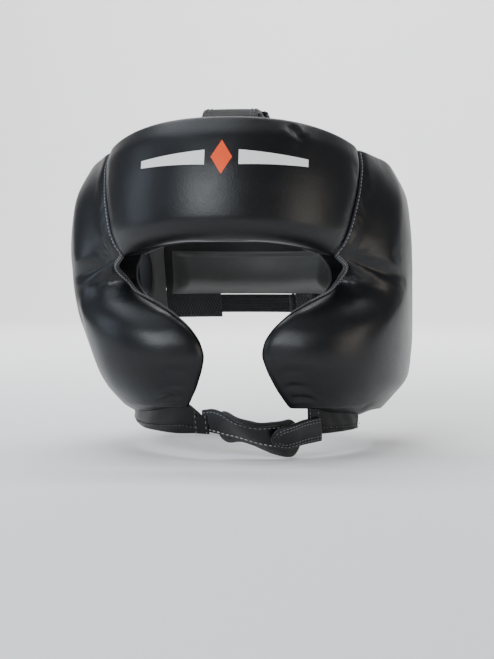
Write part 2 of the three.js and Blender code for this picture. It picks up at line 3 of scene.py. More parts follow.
import bmesh
import bpy
import numpy as np
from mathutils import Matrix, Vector


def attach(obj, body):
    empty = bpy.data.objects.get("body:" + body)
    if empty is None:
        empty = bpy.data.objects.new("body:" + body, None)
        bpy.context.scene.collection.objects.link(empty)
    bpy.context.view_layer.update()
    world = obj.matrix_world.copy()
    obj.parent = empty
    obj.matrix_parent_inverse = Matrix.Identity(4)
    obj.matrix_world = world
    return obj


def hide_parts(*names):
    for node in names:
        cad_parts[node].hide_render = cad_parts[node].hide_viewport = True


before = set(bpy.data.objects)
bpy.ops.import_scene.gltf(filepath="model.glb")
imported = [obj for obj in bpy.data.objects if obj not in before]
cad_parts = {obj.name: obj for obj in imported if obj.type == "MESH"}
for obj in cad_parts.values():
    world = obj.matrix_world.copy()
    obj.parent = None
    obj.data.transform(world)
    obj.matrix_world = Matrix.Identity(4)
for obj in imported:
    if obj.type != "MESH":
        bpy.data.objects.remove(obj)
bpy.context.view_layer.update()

# ---------------------------------------------------------------- studio
# A pale floor under a large soft lamp from the upper left, a warm one from the right, and a camera at head
# height just to the wearer's left.
studio_middle = Vector((-0.0004, 0.0036, 0.0776))
camera_azimuth, camera_elevation = math.radians(6), math.radians(2)
looking = Vector(
    (
        -math.sin(camera_azimuth) * math.cos(camera_elevation),
        math.cos(camera_azimuth) * math.cos(camera_elevation),
        -math.sin(camera_elevation),
    )
)
camera = bpy.data.objects.new("camera", bpy.data.cameras.new("camera"))
camera.data.lens = 70.2
camera.data.sensor_width = 36
camera.data.shift_x = 0.0076
camera.location = studio_middle - looking * 0.9
camera.rotation_euler = looking.to_track_quat("-Z", "Y").to_euler()
bpy.context.scene.collection.objects.link(camera)
bpy.context.scene.camera = camera


def soft_lamp(name, place, size, watts, colour):
    lamp = bpy.data.lights.new(name, "AREA")
    lamp.shape = "RECTANGLE"
    lamp.size, lamp.size_y = size
    lamp.energy = watts
    lamp.color = colour
    stand = bpy.data.objects.new(name, lamp)
    stand.location = place
    stand.rotation_euler = (studio_middle - Vector(place)).to_track_quat("-Z", "Y").to_euler()
    bpy.context.scene.collection.objects.link(stand)


soft_lamp("key_lamp", (-0.55, -1.55, 0.85), (0.9, 0.6), 20, (0.90, 0.95, 1.0))
soft_lamp("side_lamp", (1.35, -0.75, 0.30), (0.8, 0.9), 7, (1.0, 0.90, 0.78))
soft_lamp("top_lamp", (-0.5, 0.0, 1.6), (1.6, 1.2), 14, (0.86, 0.93, 1.0))
soft_lamp("left_lamp", (-1.5, -0.3, 0.6), (0.6, 0.9), 5, (0.72, 0.84, 1.0))

# a lamp behind and above the piece, turned away from it, whitens the backdrop
wash = bpy.data.lights.new("backdrop_lamp", "AREA")
wash.shape, wash.size, wash.size_y, wash.energy = "RECTANGLE", 3.0, 1.0, 210
wash_stand = bpy.data.objects.new("backdrop_lamp", wash)
wash_stand.location = (0, 1.0, 2.6)
wash_stand.rotation_euler = Vector((0, 2.4, -1.7)).to_track_quat("-Z", "Y").to_euler()
bpy.context.scene.collection.objects.link(wash_stand)

world = bpy.data.worlds.new("studio")
bpy.context.scene.world = world
world.use_nodes = True
world.node_tree.nodes["Background"].inputs["Color"].default_value = (0.95, 0.97, 1.0, 1)
world.node_tree.nodes["Background"].inputs["Strength"].default_value = 0.2


class Value:
    """A number or socket in a material, which sums like a Python number."""

    def __init__(self, finish, socket):
        self.finish, self.socket = finish, socket

    def _sum(self, operation, first, second):
        return self.finish.make("ShaderNodeMath", {"operation": operation}, first, second)["Value"]

    def __add__(self, other):
        return self._sum("ADD", self, other)

    __radd__ = __add__

    def __sub__(self, other):
        return self._sum("SUBTRACT", self, other)

    def __rsub__(self, other):
        return self._sum("SUBTRACT", other, self)

    def __mul__(self, other):
        return self._sum("MULTIPLY", self, other)

    __rmul__ = __mul__

    def __truediv__(self, other):
        return self._sum("DIVIDE", self, other)

    def __pow__(self, other):
        return self._sum("POWER", self, other)

    def __gt__(self, other):
        return self._sum("GREATER_THAN", self, other)

    def __lt__(self, other):
        return self._sum("LESS_THAN", self, other)


class Finish:
    """A material and the one method that adds its nodes."""

    def __init__(self, name, **constants):
        self.material = bpy.data.materials.new(name)
        self.material.use_nodes = True
        self.tree = self.material.node_tree
        self.shader = self.tree.nodes["Principled BSDF"]
        for socket, value in constants.items():
            self.shader.inputs[socket.replace("_", " ")].default_value = value

    def make(self, kind, settings=None, *values, **named):
        node = self.tree.nodes.new(kind)
        for setting, value in (settings or {}).items():
            if setting == "stops":
                for stop, (position, colour) in zip(node.color_ramp.elements, value):
                    stop.position, stop.color = position, colour
            else:
                setattr(node, setting, value)
        pairs = [(node.inputs[i], value) for i, value in enumerate(values) if value is not None]
        pairs += [(node.inputs[key.replace("_", " ")], value) for key, value in named.items()]
        for socket, value in pairs:
            if isinstance(value, Value):
                self.tree.links.new(value.socket, socket)
            else:
                socket.default_value = value
        return {out.name: Value(self, out) for out in node.outputs if out.enabled}

    def drive(self, **sockets):
        for socket, value in sockets.items():
            self.tree.links.new(value.socket, self.shader.inputs[socket.replace("_", " ")])

    def bump(self, height, strength, distance):
        normal = self.make("ShaderNodeBump", {}, Strength=strength, Distance=distance, Height=height)["Normal"]
        self.drive(Normal=normal)

    def blend(self, share, first, second):
        node = self.tree.nodes.new("ShaderNodeMix")
        node.data_type = "RGBA"
        for socket, value in ((node.inputs[0], share), (node.inputs[6], first), (node.inputs[7], second)):
            if isinstance(value, Value):
                self.tree.links.new(value.socket, socket)
            else:
                socket.default_value = value
        return Value(self, node.outputs[2])


floor_finish = Finish("floor", Roughness=0.9)
floor_place = floor_finish.make("ShaderNodeTexCoord")["Object"]
floor_mottle = floor_finish.make("ShaderNodeTexNoise", {}, Vector=floor_place, Scale=3.0)["Fac"]
floor_finish.drive(Base_Color=floor_finish.blend(floor_mottle, (0.90, 0.90, 0.90, 1), (0.93, 0.93, 0.925, 1)))
floor_mesh = bpy.data.meshes.new("floor")
reach, bend = 4.0, 1.2
rise = np.radians(np.linspace(0, 90, 17))
floor_line = [(-reach, -0.0005)]
floor_line += [(reach - bend + bend * math.sin(a), bend * (1 - math.cos(a)) - 0.0005) for a in rise]
floor_line += [(reach, 5.0)]
floor_mesh.from_pydata(
    [(x, y, z) for y, z in floor_line for x in (-reach, reach)],
    [],
    [(2 * k, 2 * k + 1, 2 * k + 3, 2 * k + 2) for k in range(len(floor_line) - 1)],
)
floor_mesh.polygons.foreach_set("use_smooth", [True] * len(floor_mesh.polygons))
floor_mesh.materials.append(floor_finish.material)
floor = bpy.data.objects.new("floor", floor_mesh)
bpy.context.scene.collection.objects.link(floor)

# ---------------------------------------------------------------- black leather
# Every cover is one hide of smooth coated leather: nearly black, a little blue, with a fine pebble grain and a
# soft gloss that varies as the coating has been handled.


def leather_finish(name, base, gloss, grain=1.0, crease=1.0, printed=None, specular=0.5):
    finish = Finish(name, IOR=1.38, Coat_Roughness=0.3, Coat_Weight=0.05, Specular_IOR_Level=specular)
    place = finish.make("ShaderNodeTexCoord")["Object"]
    cloudy = finish.make("ShaderNodeTexNoise", {}, Vector=place, Scale=24.0, Detail=3.0)["Fac"]
    worn = finish.make("ShaderNodeTexNoise", {}, Vector=place, Scale=70.0, Detail=4.0, Roughness=0.6)["Fac"]
    cells = finish.make("ShaderNodeTexVoronoi", {"feature": "SMOOTH_F1"}, Vector=place, Scale=900.0)["Distance"]
    pores = finish.make("ShaderNodeTexNoise", {}, Vector=place, Scale=2200.0, Detail=2.0)["Fac"]
    lines = finish.make("ShaderNodeTexNoise", {}, Vector=place, Scale=160.0, Detail=5.0, Roughness=0.65)["Fac"]
    lighter = tuple(c * 1.9 + 0.001 for c in base) + (1,)
    colour = finish.blend(cloudy * 0.6 + worn * 0.3, tuple(base) + (1,), lighter)
    roughness = gloss + (cloudy - 0.5) * 0.1 + (worn - 0.5) * 0.14
    if printed:
        for mask, ink in printed(finish, place):
            colour = finish.blend(mask, colour, ink)
            roughness = roughness + mask * 0.12
    finish.drive(Base_Color=colour, Roughness=roughness)
    finish.bump(cells * (0.5 * grain) + pores * (0.2 * grain) + lines * (1.1 * crease), 0.16, 0.0006)
    return finish.material


cover_leather = leather_finish("cover_leather", (0.0030, 0.0033, 0.0043), 0.36)
# the lining is the same black leather made about six times lighter: painted light on the shaded inside
lining_leather_painted_light = leather_finish("lining_leather_painted_light", (0.018, 0.018, 0.0185), 0.46, grain=1.3)
flap_leather = leather_finish("flap_leather", (0.0028, 0.0028, 0.0031), 0.40, crease=2.0, specular=0.28)

# ---------------------------------------------------------------- the head form
# All the padding is laid on one oval last, which narrows to the crown and the jaw. The empty shell leans a little
# towards the wearer's left below the brow. Angles are degrees from straight ahead; lengths here are millimetres.
last_half_width, last_half_depth = 82.0, 98.0
temple_height, crown_taper, crown_rise = 130.0, 0.12, 85.0
jaw_taper, jaw_drop = 0.06, 115.0
brow_side, lean = 133.0, 0.075
origin_on_last = np.array([0.4193535, -3.5762596, 4.3893356])


def on_last(degrees, height, out, flip=False):
    degrees, height, out = np.broadcast_arrays(*(np.asarray(x, float) for x in (degrees, height, out)))
    above = np.maximum(0, height - temple_height) / crown_rise
    below = np.maximum(0, temple_height - height) / jaw_drop
    share = 1 - crown_taper * above**2 - jaw_taper * below**2
    a, b = last_half_width * share, last_half_depth * share
    s, c = np.sin(np.radians(degrees)), np.cos(np.radians(degrees))
    nx, ny = s / a, -c / b
    length = np.hypot(nx, ny)
    x, y = a * s + out * nx / length, -b * c + out * ny / length
    if flip:
        x = -x
    return leaned(np.stack([x, y, height], -1))


def leaned(points):
    """From the upright last, in millimetres, to a place on the finished piece, in metres."""
    points = np.array(points, float)
    points[..., 0] += lean * np.maximum(0, brow_side - points[..., 2])
    return (points - origin_on_last) / 1000


def upright(points):
    """The other way: from the finished piece back to the upright last."""
    points = np.array(points, float) * 1000 + origin_on_last
    points[..., 0] -= lean * np.maximum(0, brow_side - points[..., 2])
    return points


def along_last(degrees, height):
    """Millimetres round the last for one degree."""
    step = on_last(degrees + 0.5, height, 0) - on_last(degrees - 0.5, height, 0)
    return 1000 * np.linalg.norm(step[..., :2], axis=-1)


def curve_through(points, soft=0.03):
    """The smooth function through the points [(x, y), ...]."""
    x, y = np.array(points, float).T
    t = np.linspace(x[0], x[-1], 500)
    reach_in = 80
    kernel = np.exp(-0.5 * (np.arange(-reach_in, reach_in + 1) / (500 * soft)) ** 2)
    flat = np.interp(t, x, y)
    longer = np.pad(flat, reach_in, mode="reflect", reflect_type="odd")
    rounded = np.convolve(longer, kernel / kernel.sum(), "valid")
    return lambda q: np.interp(q, t, rounded)


def mixed(a, b, share):
    return a + (b - a) * share


def eased(x, low, high):
    t = np.clip((x - low) / (high - low), 0, 1)
    return t * t * (3 - 2 * t)


# ---------------------------------------------------------------- padded shells
# A pad is a leather cover drawn over a foam block and sewn to a lining at its rim. It is laid out as a closed
# shell of even squares, then stuffed: the rim is held as the seam holds it, and air pressure rounds the rest.


def mesh_piece(name, points, faces, finish, uv=None):
    mesh = bpy.data.meshes.new(name)
    mesh.from_pydata([tuple(p) for p in points], [], [tuple(f) for f in faces])
    mesh.materials.append(finish)
    mesh.polygons.foreach_set("use_smooth", [True] * len(mesh.polygons))
    if uv is not None:
        layer = mesh.uv_layers.new(name="UVMap")
        corner = np.zeros(len(mesh.loops), int)
        mesh.loops.foreach_get("vertex_index", corner)
        layer.data.foreach_set("uv", np.asarray(uv, np.float32)[corner].ravel())
    mesh.update()
    piece = bpy.data.objects.new(name, mesh)
    bpy.context.scene.collection.objects.link(piece)
    return piece


def closed_shell(name, count, place, finish):
    """A box's surface, count squares along each way, whose corner (u, v, w) is at place(u, v, w)."""
    nu, nv, nw = count
    sides = []
    for axis, end in ((0, 0), (0, nu), (1, 0), (1, nv), (2, 0), (2, nw)):
        free = [k for k in range(3) if k != axis]
        p, q = np.meshgrid(np.arange(count[free[0]] + 1), np.arange(count[free[1]] + 1), indexing="ij")
        grid = np.zeros(p.shape + (3,), int)
        grid[..., axis], grid[..., free[0]], grid[..., free[1]] = end, p, q
        number = (grid[..., 0] * (nv + 1) + grid[..., 1]) * (nw + 1) + grid[..., 2]
        quads = np.stack([number[:-1, :-1], number[1:, :-1], number[1:, 1:], number[:-1, 1:]], -1).reshape(-1, 4)
        sides.append(quads if (end > 0) == (axis != 1) else quads[:, ::-1])
    quads = np.concatenate(sides)
    used, faces = np.unique(quads, return_inverse=True)
    faces = faces.reshape(-1, 4)
    w = used % (nw + 1)
    v = used // (nw + 1) % (nv + 1)
    u = used // ((nw + 1) * (nv + 1))
    share = np.stack([u / nu, v / nv, w / nw], -1)
    return mesh_piece(name, place(*share.T), faces, finish), share


def wall_finish(piece, share, axis, end, finish):
    """Gives one wall of a closed shell another finish: on a pad's cut side, where it is sewn, a dull darker painted
    shade.
    """
    piece.data.materials.append(finish)
    on_wall = np.isclose(share[:, axis], end)
    for face in piece.data.polygons:
        if all(on_wall[v] for v in face.vertices):
            face.material_index = len(piece.data.materials) - 1


def points_of(piece):
    co = np.zeros(len(piece.data.vertices) * 3)
    piece.data.vertices.foreach_get("co", co)
    return co.reshape(-1, 3)


def normals_of(piece):
    piece.data.update()
    n = np.zeros(len(piece.data.vertices) * 3)
    piece.data.vertices.foreach_get("normal", n)
    return n.reshape(-1, 3)


def set_points(piece, points):
    piece.data.vertices.foreach_set("co", np.asarray(points, float).ravel())
    piece.data.update()


def stuff(piece, held, pressure, growth, most):
    """Blows the piece up with cloth simulation while the held points stay; no point moves further than most."""
    rest = points_of(piece)
    group = piece.vertex_groups.new(name="sewn")
    group.add([int(i) for i in np.flatnonzero(held)], 1.0, "REPLACE")
    cloth = piece.modifiers.new("stuffing", "CLOTH")
    cloth.settings.quality = 6
    cloth.settings.mass = 0.2
    cloth.settings.tension_stiffness = cloth.settings.compression_stiffness = 20
    cloth.settings.shear_stiffness = 8
    cloth.settings.bending_stiffness = 0.15
    cloth.settings.use_pressure = True
    cloth.settings.uniform_pressure_force = pressure
    cloth.settings.shrink_min = -growth
    cloth.settings.vertex_group_mass = group.name
    cloth.settings.effector_weights.gravity = 0
    cloth.point_cache.frame_start, cloth.point_cache.frame_end = 1, 20
    for tick in range(1, 21):
        bpy.context.scene.frame_set(tick)
    seen = piece.evaluated_get(bpy.context.evaluated_depsgraph_get())
    moved = np.zeros(len(rest) * 3)
    seen.data.vertices.foreach_get("co", moved)
    step = moved.reshape(-1, 3) - rest
    length = np.linalg.norm(step, axis=1, keepdims=True)
    step *= np.minimum(1, most / np.maximum(length, 1e-9))
    piece.modifiers.remove(cloth)
    piece.vertex_groups.clear()
    bpy.context.scene.frame_set(1)
    set_points(piece, rest + step)


def refine(piece, levels=1):
    """One subdivision, made part of the mesh."""
    smooth = piece.modifiers.new("finer", "SUBSURF")
    smooth.levels = smooth.render_levels = levels
    finer = bpy.data.meshes.new_from_object(piece.evaluated_get(bpy.context.evaluated_depsgraph_get()))
    piece.modifiers.clear()
    piece.data = finer
    finer.polygons.foreach_set("use_smooth", [True] * len(finer.polygons))


def gather(piece, centre, towards, spread, folds, depth, reach_mm, seed, start=2.0):
    """Puckers that fan out over the leather from a point of a seam: centre in metres, the rest in millimetres."""
    points, normals = points_of(piece), normals_of(piece)
    away = (points - np.asarray(centre)) * 1000
    towards = np.asarray(towards, float)
    towards /= np.linalg.norm(towards)
    nearest = np.argmin(np.linalg.norm(away, axis=1))
    up = normals[nearest]
    across = np.cross(up, towards)
    along_it, across_it = away @ towards, away @ across
    distance = np.linalg.norm(away, axis=1)
    turn = np.degrees(np.arctan2(across_it, along_it))
    random = np.random.default_rng(seed)
    wave = np.zeros(len(points))
    for k in range(3):
        rate = folds * (0.7 + 0.3 * k) * (0.9 + 0.2 * random.random())
        wave += np.cos(np.radians(turn) * rate * 180 / spread * 1.0 + random.random() * 6.28) / (1 + k)
    wave = wave / 1.8
    wave = np.where(wave > 0, wave, wave * 1.5)
    fan = np.clip(1 - (np.abs(turn) / spread) ** 2, 0, 1)
    fade = np.exp(-((distance / reach_mm) ** 1.4)) * (1 - np.exp(-((distance / start) ** 2)))
    facing = np.clip((normals @ up) * 2, 0, 1)
    set_points(piece, points + normals * (wave * fan * fade * facing * depth / 1000)[:, None])


def crease(piece, line, width_mm, depth_mm, side_swell=0.35):
    """A soft fold pressed into the leather along a line of points in metres."""
    points, normals = points_of(piece), normals_of(piece)
    line = np.asarray(line, float)
    best = np.full(len(points), 1e9)
    place_on = np.zeros(len(points))
    for k in range(len(line) - 1):
        start, run = line[k], line[k + 1] - line[k]
        share = np.clip(((points - start) @ run) / (run @ run), 0, 1)
        gap = np.linalg.norm(points - start - share[:, None] * run, axis=1) * 1000
        closer = gap < best
        best = np.where(closer, gap, best)
        place_on = np.where(closer, (k + share) / (len(line) - 1), place_on)
    fade = np.sin(np.pi * np.clip(place_on, 0.02, 0.98)) ** 0.6
    dip = -np.exp(-((best / width_mm) ** 2))
    swell = side_swell * np.exp(-(((best - 2.2 * width_mm) / (1.2 * width_mm)) ** 2))
    set_points(piece, points + normals * ((dip + swell) * fade * depth_mm / 1000)[:, None])


# ---------------------------------------------------------------- forehead pad
# The brow pad: one wide leather cover over thick foam from temple seam to temple seam, fullest just above the
# brow and tucked in hard under it.
forehead_thick = 31.0
forehead_middle_low, forehead_middle_high, forehead_side_high = 141.0, 217.0, 200.0
seam_low, seam_high = 43.0, 60.0
seam_half_gap = 1.5
forehead_rise = curve_through(
    [(0, 0.45), (0.05, 0.78), (0.1, 0.94), (0.15, 1), (0.29, 0.99), (0.45, 0.97)]
    + [(0.6, 0.94), (0.86, 0.84), (1, 0.66)],
    0.025,
)
rise_at_seam = curve_through([(0, 0.78), (0.08, 0.93), (0.2, 1), (0.57, 1), (0.86, 0.96), (1, 0.86)], 0.03)


def seam_angle(height):
    return mixed(seam_low, seam_high, (height - brow_side) / (forehead_side_high - brow_side))


def forehead_height(u, v):
    side = np.abs(2 * u - 1) ** 2.4
    low = mixed(forehead_middle_low, brow_side, side)
    return mixed(low, mixed(forehead_middle_high, forehead_side_high, side), v)


def forehead_place(u, v, w):
    height = forehead_height(u, v)
    at_seam = mixed(brow_side, forehead_side_high, v)
    mm = along_last(seam_low, at_seam)
    edge = seam_angle(at_seam) - 0.25 / mm
    aside = np.abs(2 * u - 1)
    rise = mixed(forehead_rise(v), rise_at_seam(v), aside**3)
    thick = (forehead_thick - 1.5) * rise * (1 - 0.2 * aside**4)
    low_edge = np.exp(-((v / 0.09) ** 2))
    from_seam = (1 - np.abs(2 * u - 1)) * edge * mm
    thick = thick - 2.6 * np.exp(-((from_seam / 3.2) ** 1.5))
    out = mixed(1.6, thick, w)
    return on_last(mixed(-edge, edge, u), height - 2.0 * low_edge * w, out)


def brow_print(finish, place):
    """A plain white bar tapering to both sides, and an orange lozenge in the gap in its middle."""
    split = finish.make("ShaderNodeSeparateXYZ", {}, place)
    aside = finish.make("ShaderNodeMath", {"operation": "ABSOLUTE"}, split["X"] + 0.0005)["Value"]
    rise = split["Z"] - 0.1865 + aside * aside * 1.2
    above = finish.make("ShaderNodeMath", {"operation": "ABSOLUTE"}, rise)["Value"]
    in_front = split["Y"] < -0.02
    bar = (above < 0.0052 - aside * 0.055) * (aside > 0.0105) * (aside < 0.052) * in_front
    lozenge = ((above * 0.62 + aside) < 0.0066) * in_front
    return ((bar, (0.80, 0.80, 0.79, 1)), (lozenge, (0.85, 0.075, 0.006, 1)))


printed_leather = leather_finish("printed_leather", (0.0030, 0.0033, 0.0043), 0.36, printed=brow_print)
# the pad's cut side where it is sewn, made darker than the cover and almost without gloss: painted shade
seam_wall_painted_shade = leather_finish("seam_wall_painted_shade", (0.0025, 0.0025, 0.003), 0.9, specular=0.05)
forehead, forehead_share = closed_shell("forehead_pad", (110, 50, 12), forehead_place, printed_leather)
# the brow pad's lower wall takes the dull dark leather of painted shade
wall_finish(forehead, forehead_share, 1, 0, seam_wall_painted_shade)
edge_of_u = np.minimum(forehead_share[:, 0], 1 - forehead_share[:, 0])
stuff(forehead, (forehead_share[:, 2] < 0.08) | (edge_of_u < 0.001), 3.0, 0.002, 0.003)
refine(forehead)
for side in (-1, 1):
    # small puckers where the cover is drawn into the lower corners of the brow
    corner = on_last(side * 42.0, 137.0, 9.0)
    gather(forehead, corner, (-side * 0.7, 0, 0.6), 70, 4, 0.7, 12, 11 + side)
for k, (turn, deep) in enumerate(((-27, 0.5), (-14, 0.35), (3, 0.5), (17, 0.4), (30, 0.5))):
    foot = on_last(turn, 143.0, 12.0)
    gather(forehead, foot, (0.1 * math.sin(k * 2.1), 0, 1), 55, 2, deep, 9, 31 + k)
crease(forehead, [on_last(24.5, 212, 21), on_last(26.0, 206.5, 27), on_last(28.5, 202.5, 28)], 3.0, 1.2)
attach(forehead, "shell")
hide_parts("forehead_cover", "forehead_foam")

# ---------------------------------------------------------------- cheek pads
# Each side pad is one big cushion: it hangs from the temple seam, wraps the cheek, and runs back under the ear.
# Its eye edge is cut in deeply, so the leather puckers there. The left one sits fuller at the jaw.
cheek_thick, cheek_rim = 37.0, 6.0
cheek_chin_height, ear_top = 38.0, 184.0
eye_edge = curve_through(
    [
        (cheek_chin_height, 26), (48, 20.5), (59, 17), (69, 15), (78, 16.5), (87, 21), (96, 29), (102, 37),
        (108, 45), (116, 50), (125, 49), (brow_side, seam_low), (forehead_side_high, seam_high),
    ],
    0.012,
)
back_edge = curve_through([(36, 114), (70, 113), (88, 106), (104, 98.5), (124, 97), (ear_top, 97)], 0.02)
lower_edge = curve_through([(0, cheek_chin_height), (0.2, 30), (0.45, 26), (0.75, 28), (1, 36)], 0.03)
upper_edge = curve_through([(0, forehead_side_high), (0.5, 196), (1, ear_top)], 0.05)
full_in_front = curve_through([(0, 0.3), (0.06, 0.62), (0.18, 0.9), (0.35, 1), (0.85, 0.95), (1, 0.6)], 0.03)


def cheek_surface(u, v, full):
    """Angle, height and thickness of a cheek pad's outer face."""
    height = mixed(lower_edge(u), upper_edge(u), v)
    front_height = mixed(lower_edge(0), upper_edge(0), v)
    back_height = mixed(lower_edge(1), upper_edge(1), v)
    front = eye_edge(front_height) + 0.25 / along_last(seam_low, front_height)
    angle = mixed(front, back_edge(back_height), u)
    full_at_side = curve_through(
        [(0, full / 4), (0.12, full), (0.3, 0.55 + 0.45 * full), (0.5, 0.94), (0.7, 1), (0.9, 0.97), (1, 0.72)],
        0.03,
    )
    front_rim = mixed(0.08, 0.72, eased(front_height, 112, 138))
    front_rise = mixed(front_rim, 1, np.sin(np.pi / 2 * np.minimum(1, u / 0.35)) ** 0.7)
    back_rise = mixed(0.3, 1, np.sin(np.pi / 2 * np.minimum(1, (1 - u) / 0.25)) ** 0.7)
    upright = mixed(full_in_front(v), full_at_side(v), eased(u, 0.3, 0.7))
    thick = cheek_rim + (cheek_thick - cheek_rim) * front_rise * back_rise * upright
    return angle, height, thick


def cheek_pad(name, full, flip, seed):
    def place(u, v, w):
        if flip:
            u = 1 - u
        u_even = u**1.25
        angle, height, thick = cheek_surface(u_even, v, full)
        front_height = mixed(lower_edge(0), upper_edge(0), v)
        free_edge = 1 - eased(front_height, 118, 132)
        # the cover rolls out past its sewn edge, over the binding
        rolled = 5.5 * (1 - eased(front_height, 96, 112)) * np.exp(-((u / 0.07) ** 2))
        roll = rolled * np.sin(np.pi * np.clip(w, 0, 1) * 0.62)
        angle = angle - roll / along_last(60, height)
        under = np.exp(-((v / 0.05) ** 2)) * np.sin(np.pi * w * 0.6)
        over = np.exp(-(((1 - v) / 0.05) ** 2)) * np.sin(np.pi * w * 0.5)
        jaw = np.sin(np.pi * np.clip(u * 1.15, 0, 1)) ** 1.5
        height = height - 2.2 * under * (1 - jaw) + 1.0 * over + 7.5 * jaw * w * np.exp(-((v / 0.13) ** 2))
        at_seam = np.clip((front_height - brow_side) / (forehead_side_high - brow_side), 0, 1)
        brow_thick = (forehead_thick - 1.5) * rise_at_seam(at_seam) * 0.8
        run_back = (angle - eye_edge(front_height)) * along_last(60, height)
        level = (1 - eased(run_back, 4, 34)) * (1 - free_edge)
        thick = mixed(thick - 1.2, brow_thick, level)
        thick = thick - 2.6 * (1 - free_edge) * np.exp(-((np.maximum(run_back, 0) / 3.2) ** 1.5))
        out = mixed(1.6, thick, w)
        return on_last(angle, height, out, flip)

    pad, share = closed_shell(name, (64, 84, 10), place, cover_leather)
    # the cheek pad's front wall by the eye takes the dull dark leather of painted shade
    wall_finish(pad, share, 0, 1 if flip else 0, seam_wall_painted_shade)
    u = 1 - share[:, 0] if flip else share[:, 0]
    seam = (u < 0.001) & (share[:, 1] > 0.6)
    stuff(pad, (share[:, 2] < 0.11) | seam, 3.0, 0.002, 0.003)
    rims = []
    for along, through in ((0.0, 0.1), (0.0, 1.0), (3 / 64, 1.0)):
        row = np.flatnonzero(np.isclose(u, along) & np.isclose(share[:, 2], through))
        rims.append(points_of(pad)[row[np.argsort(share[row, 1])]])
    refine(pad)
    side = -1 if flip else 1

    def on_pad(u, v, lift=0.0):
        angle, height, thick = cheek_surface(np.array(u), np.array(v), full)
        return on_last(angle, height, thick + lift, flip)

    # puckers round the eye corner, where the seam, the binding and the cut edge meet
    for at_u, at_v, way, spread, folds, depth, far in (
        (0.0, 0.60, (0.9 * side, 0, 0.3), 75, 6.5, 0.32, 13),
        (0.0, 0.565, (0.9 * side, 0, 0.1), 80, 6.0, 0.4, 15),
        (0.0, 0.52, (0.9 * side, 0, -0.2), 80, 6.5, 0.4, 16),
        (0.0, 0.475, (0.8 * side, 0, -0.5), 75, 6.0, 0.32, 14),
        (0.0, 0.43, (0.7 * side, 0, -0.7), 70, 5.5, 0.25, 12),
    ):
        gather(pad, on_pad(at_u, at_v), way, spread, folds, depth, far, seed, 2.5)
        seed += 1
    # the cover is drawn in at the lower front corner, where the strap's flap is sewn on
    gather(pad, on_pad(0.0, 0.02), (0.7 * side, 0, 0.7), 85, 4.5, 0.6, 10, seed)
    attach(pad, "shell")
    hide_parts("cheek_cover_" + name.split("_")[-1], "cheek_foam_" + name.split("_")[-1])
    return pad, on_pad, rims


cheek_left, on_cheek_left, left_rims = cheek_pad("cheek_pad_left", 0.8, False, 101)
cheek_right, on_cheek_right, right_rims = cheek_pad("cheek_pad_right", 0.4, True, 211)


def fold(side, start, end, rows, *shape):
    """A fold in a cheek pad from start to end of the way back along it, at the heights in rows."""
    pad, on_pad = side
    crease(pad, on_pad(np.linspace(start, end, len(rows)), np.array(rows)), *shape)


left_pad, right_pad = (cheek_left, on_cheek_left), (cheek_right, on_cheek_right)
fold(left_pad, 0.0, 0.16, (0.575, 0.572, 0.574, 0.58, 0.588), 1.9, 1.9, 0.5)
fold(left_pad, 0.01, 0.12, (0.535, 0.53, 0.52, 0.505), 2.4, 0.7)
fold(right_pad, 0.0, 0.16, (0.56, 0.565, 0.58, 0.60, 0.63), 2.6, 0.8, 0.1)
fold(right_pad, 0.0, 0.18, (0.515, 0.515, 0.51, 0.50, 0.485), 3.0, 0.5, 0.0)
fold(right_pad, 0.34, 0.42, (0.44, 0.41, 0.375, 0.34), 4.0, 0.7)
# short glossy folds where the pads are sewn to the flaps in front
for side in (left_pad, right_pad):
    fold(side, 0.0, 0.11, (0.03, 0.036, 0.04, 0.036, 0.03), 1.5, 1.3, 0.6)
    fold(side, 0.0, 0.09, (0.07, 0.08, 0.086, 0.088, 0.085), 1.6, 0.8, 0.5)
    fold(side, 0.005, 0.1, (0.125, 0.14, 0.15, 0.152), 2.0, 0.5, 0.4)

# ---------------------------------------------------------------- linings
# Thin leather linings close the inside of each pad. They are laid flat on the last, and lie slightly hollow
# between their seams.


def lining_sheet(name, count, angle_and_height, flip, node, body="shell"):
    def place(u, v, w):
        if flip:
            u = 1 - u
        angle, height = angle_and_height(u, v)
        swell = (np.sin(np.pi * u) * np.sin(np.pi * v)) ** 0.5
        return on_last(angle, height, mixed(0.05 - 0.9 * swell, 1.25, w), flip)

    # the linings take the lightened leather of painted light
    sheet, _ = closed_shell(name, count, place, lining_leather_painted_light)
    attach(sheet, body)
    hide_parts(node)
    return sheet


def forehead_inside(u, v):
    at_seam = mixed(brow_side, forehead_side_high, v)
    edge = seam_angle(at_seam) - seam_half_gap / along_last(seam_low, at_seam)
    return mixed(-edge, edge, u), forehead_height(u, v)


def cheek_inside(u, v):
    angle, height, _ = cheek_surface(u, v, 0.5)
    return angle, height


lining_sheet("forehead_lining_leather", (60, 24, 1), forehead_inside, False, "forehead_lining")
lining_sheet("cheek_lining_leather_left", (50, 60, 1), cheek_inside, False, "cheek_lining_left")
lining_sheet("cheek_lining_leather_right", (50, 60, 1), cheek_inside, True, "cheek_lining_right")

# ---------------------------------------------------------------- rear pad
# The pad behind the head: a boxy cushion with full corners, leather on both faces, puffed towards the nape.
rear_start, rear_low, rear_high, rear_thick = 130.4, 112.5, 176.0, 20.0
boxy = curve_through([(0, 0.55), (0.1, 0.95), (0.5, 1), (0.9, 0.95), (1, 0.55)], 0.03)


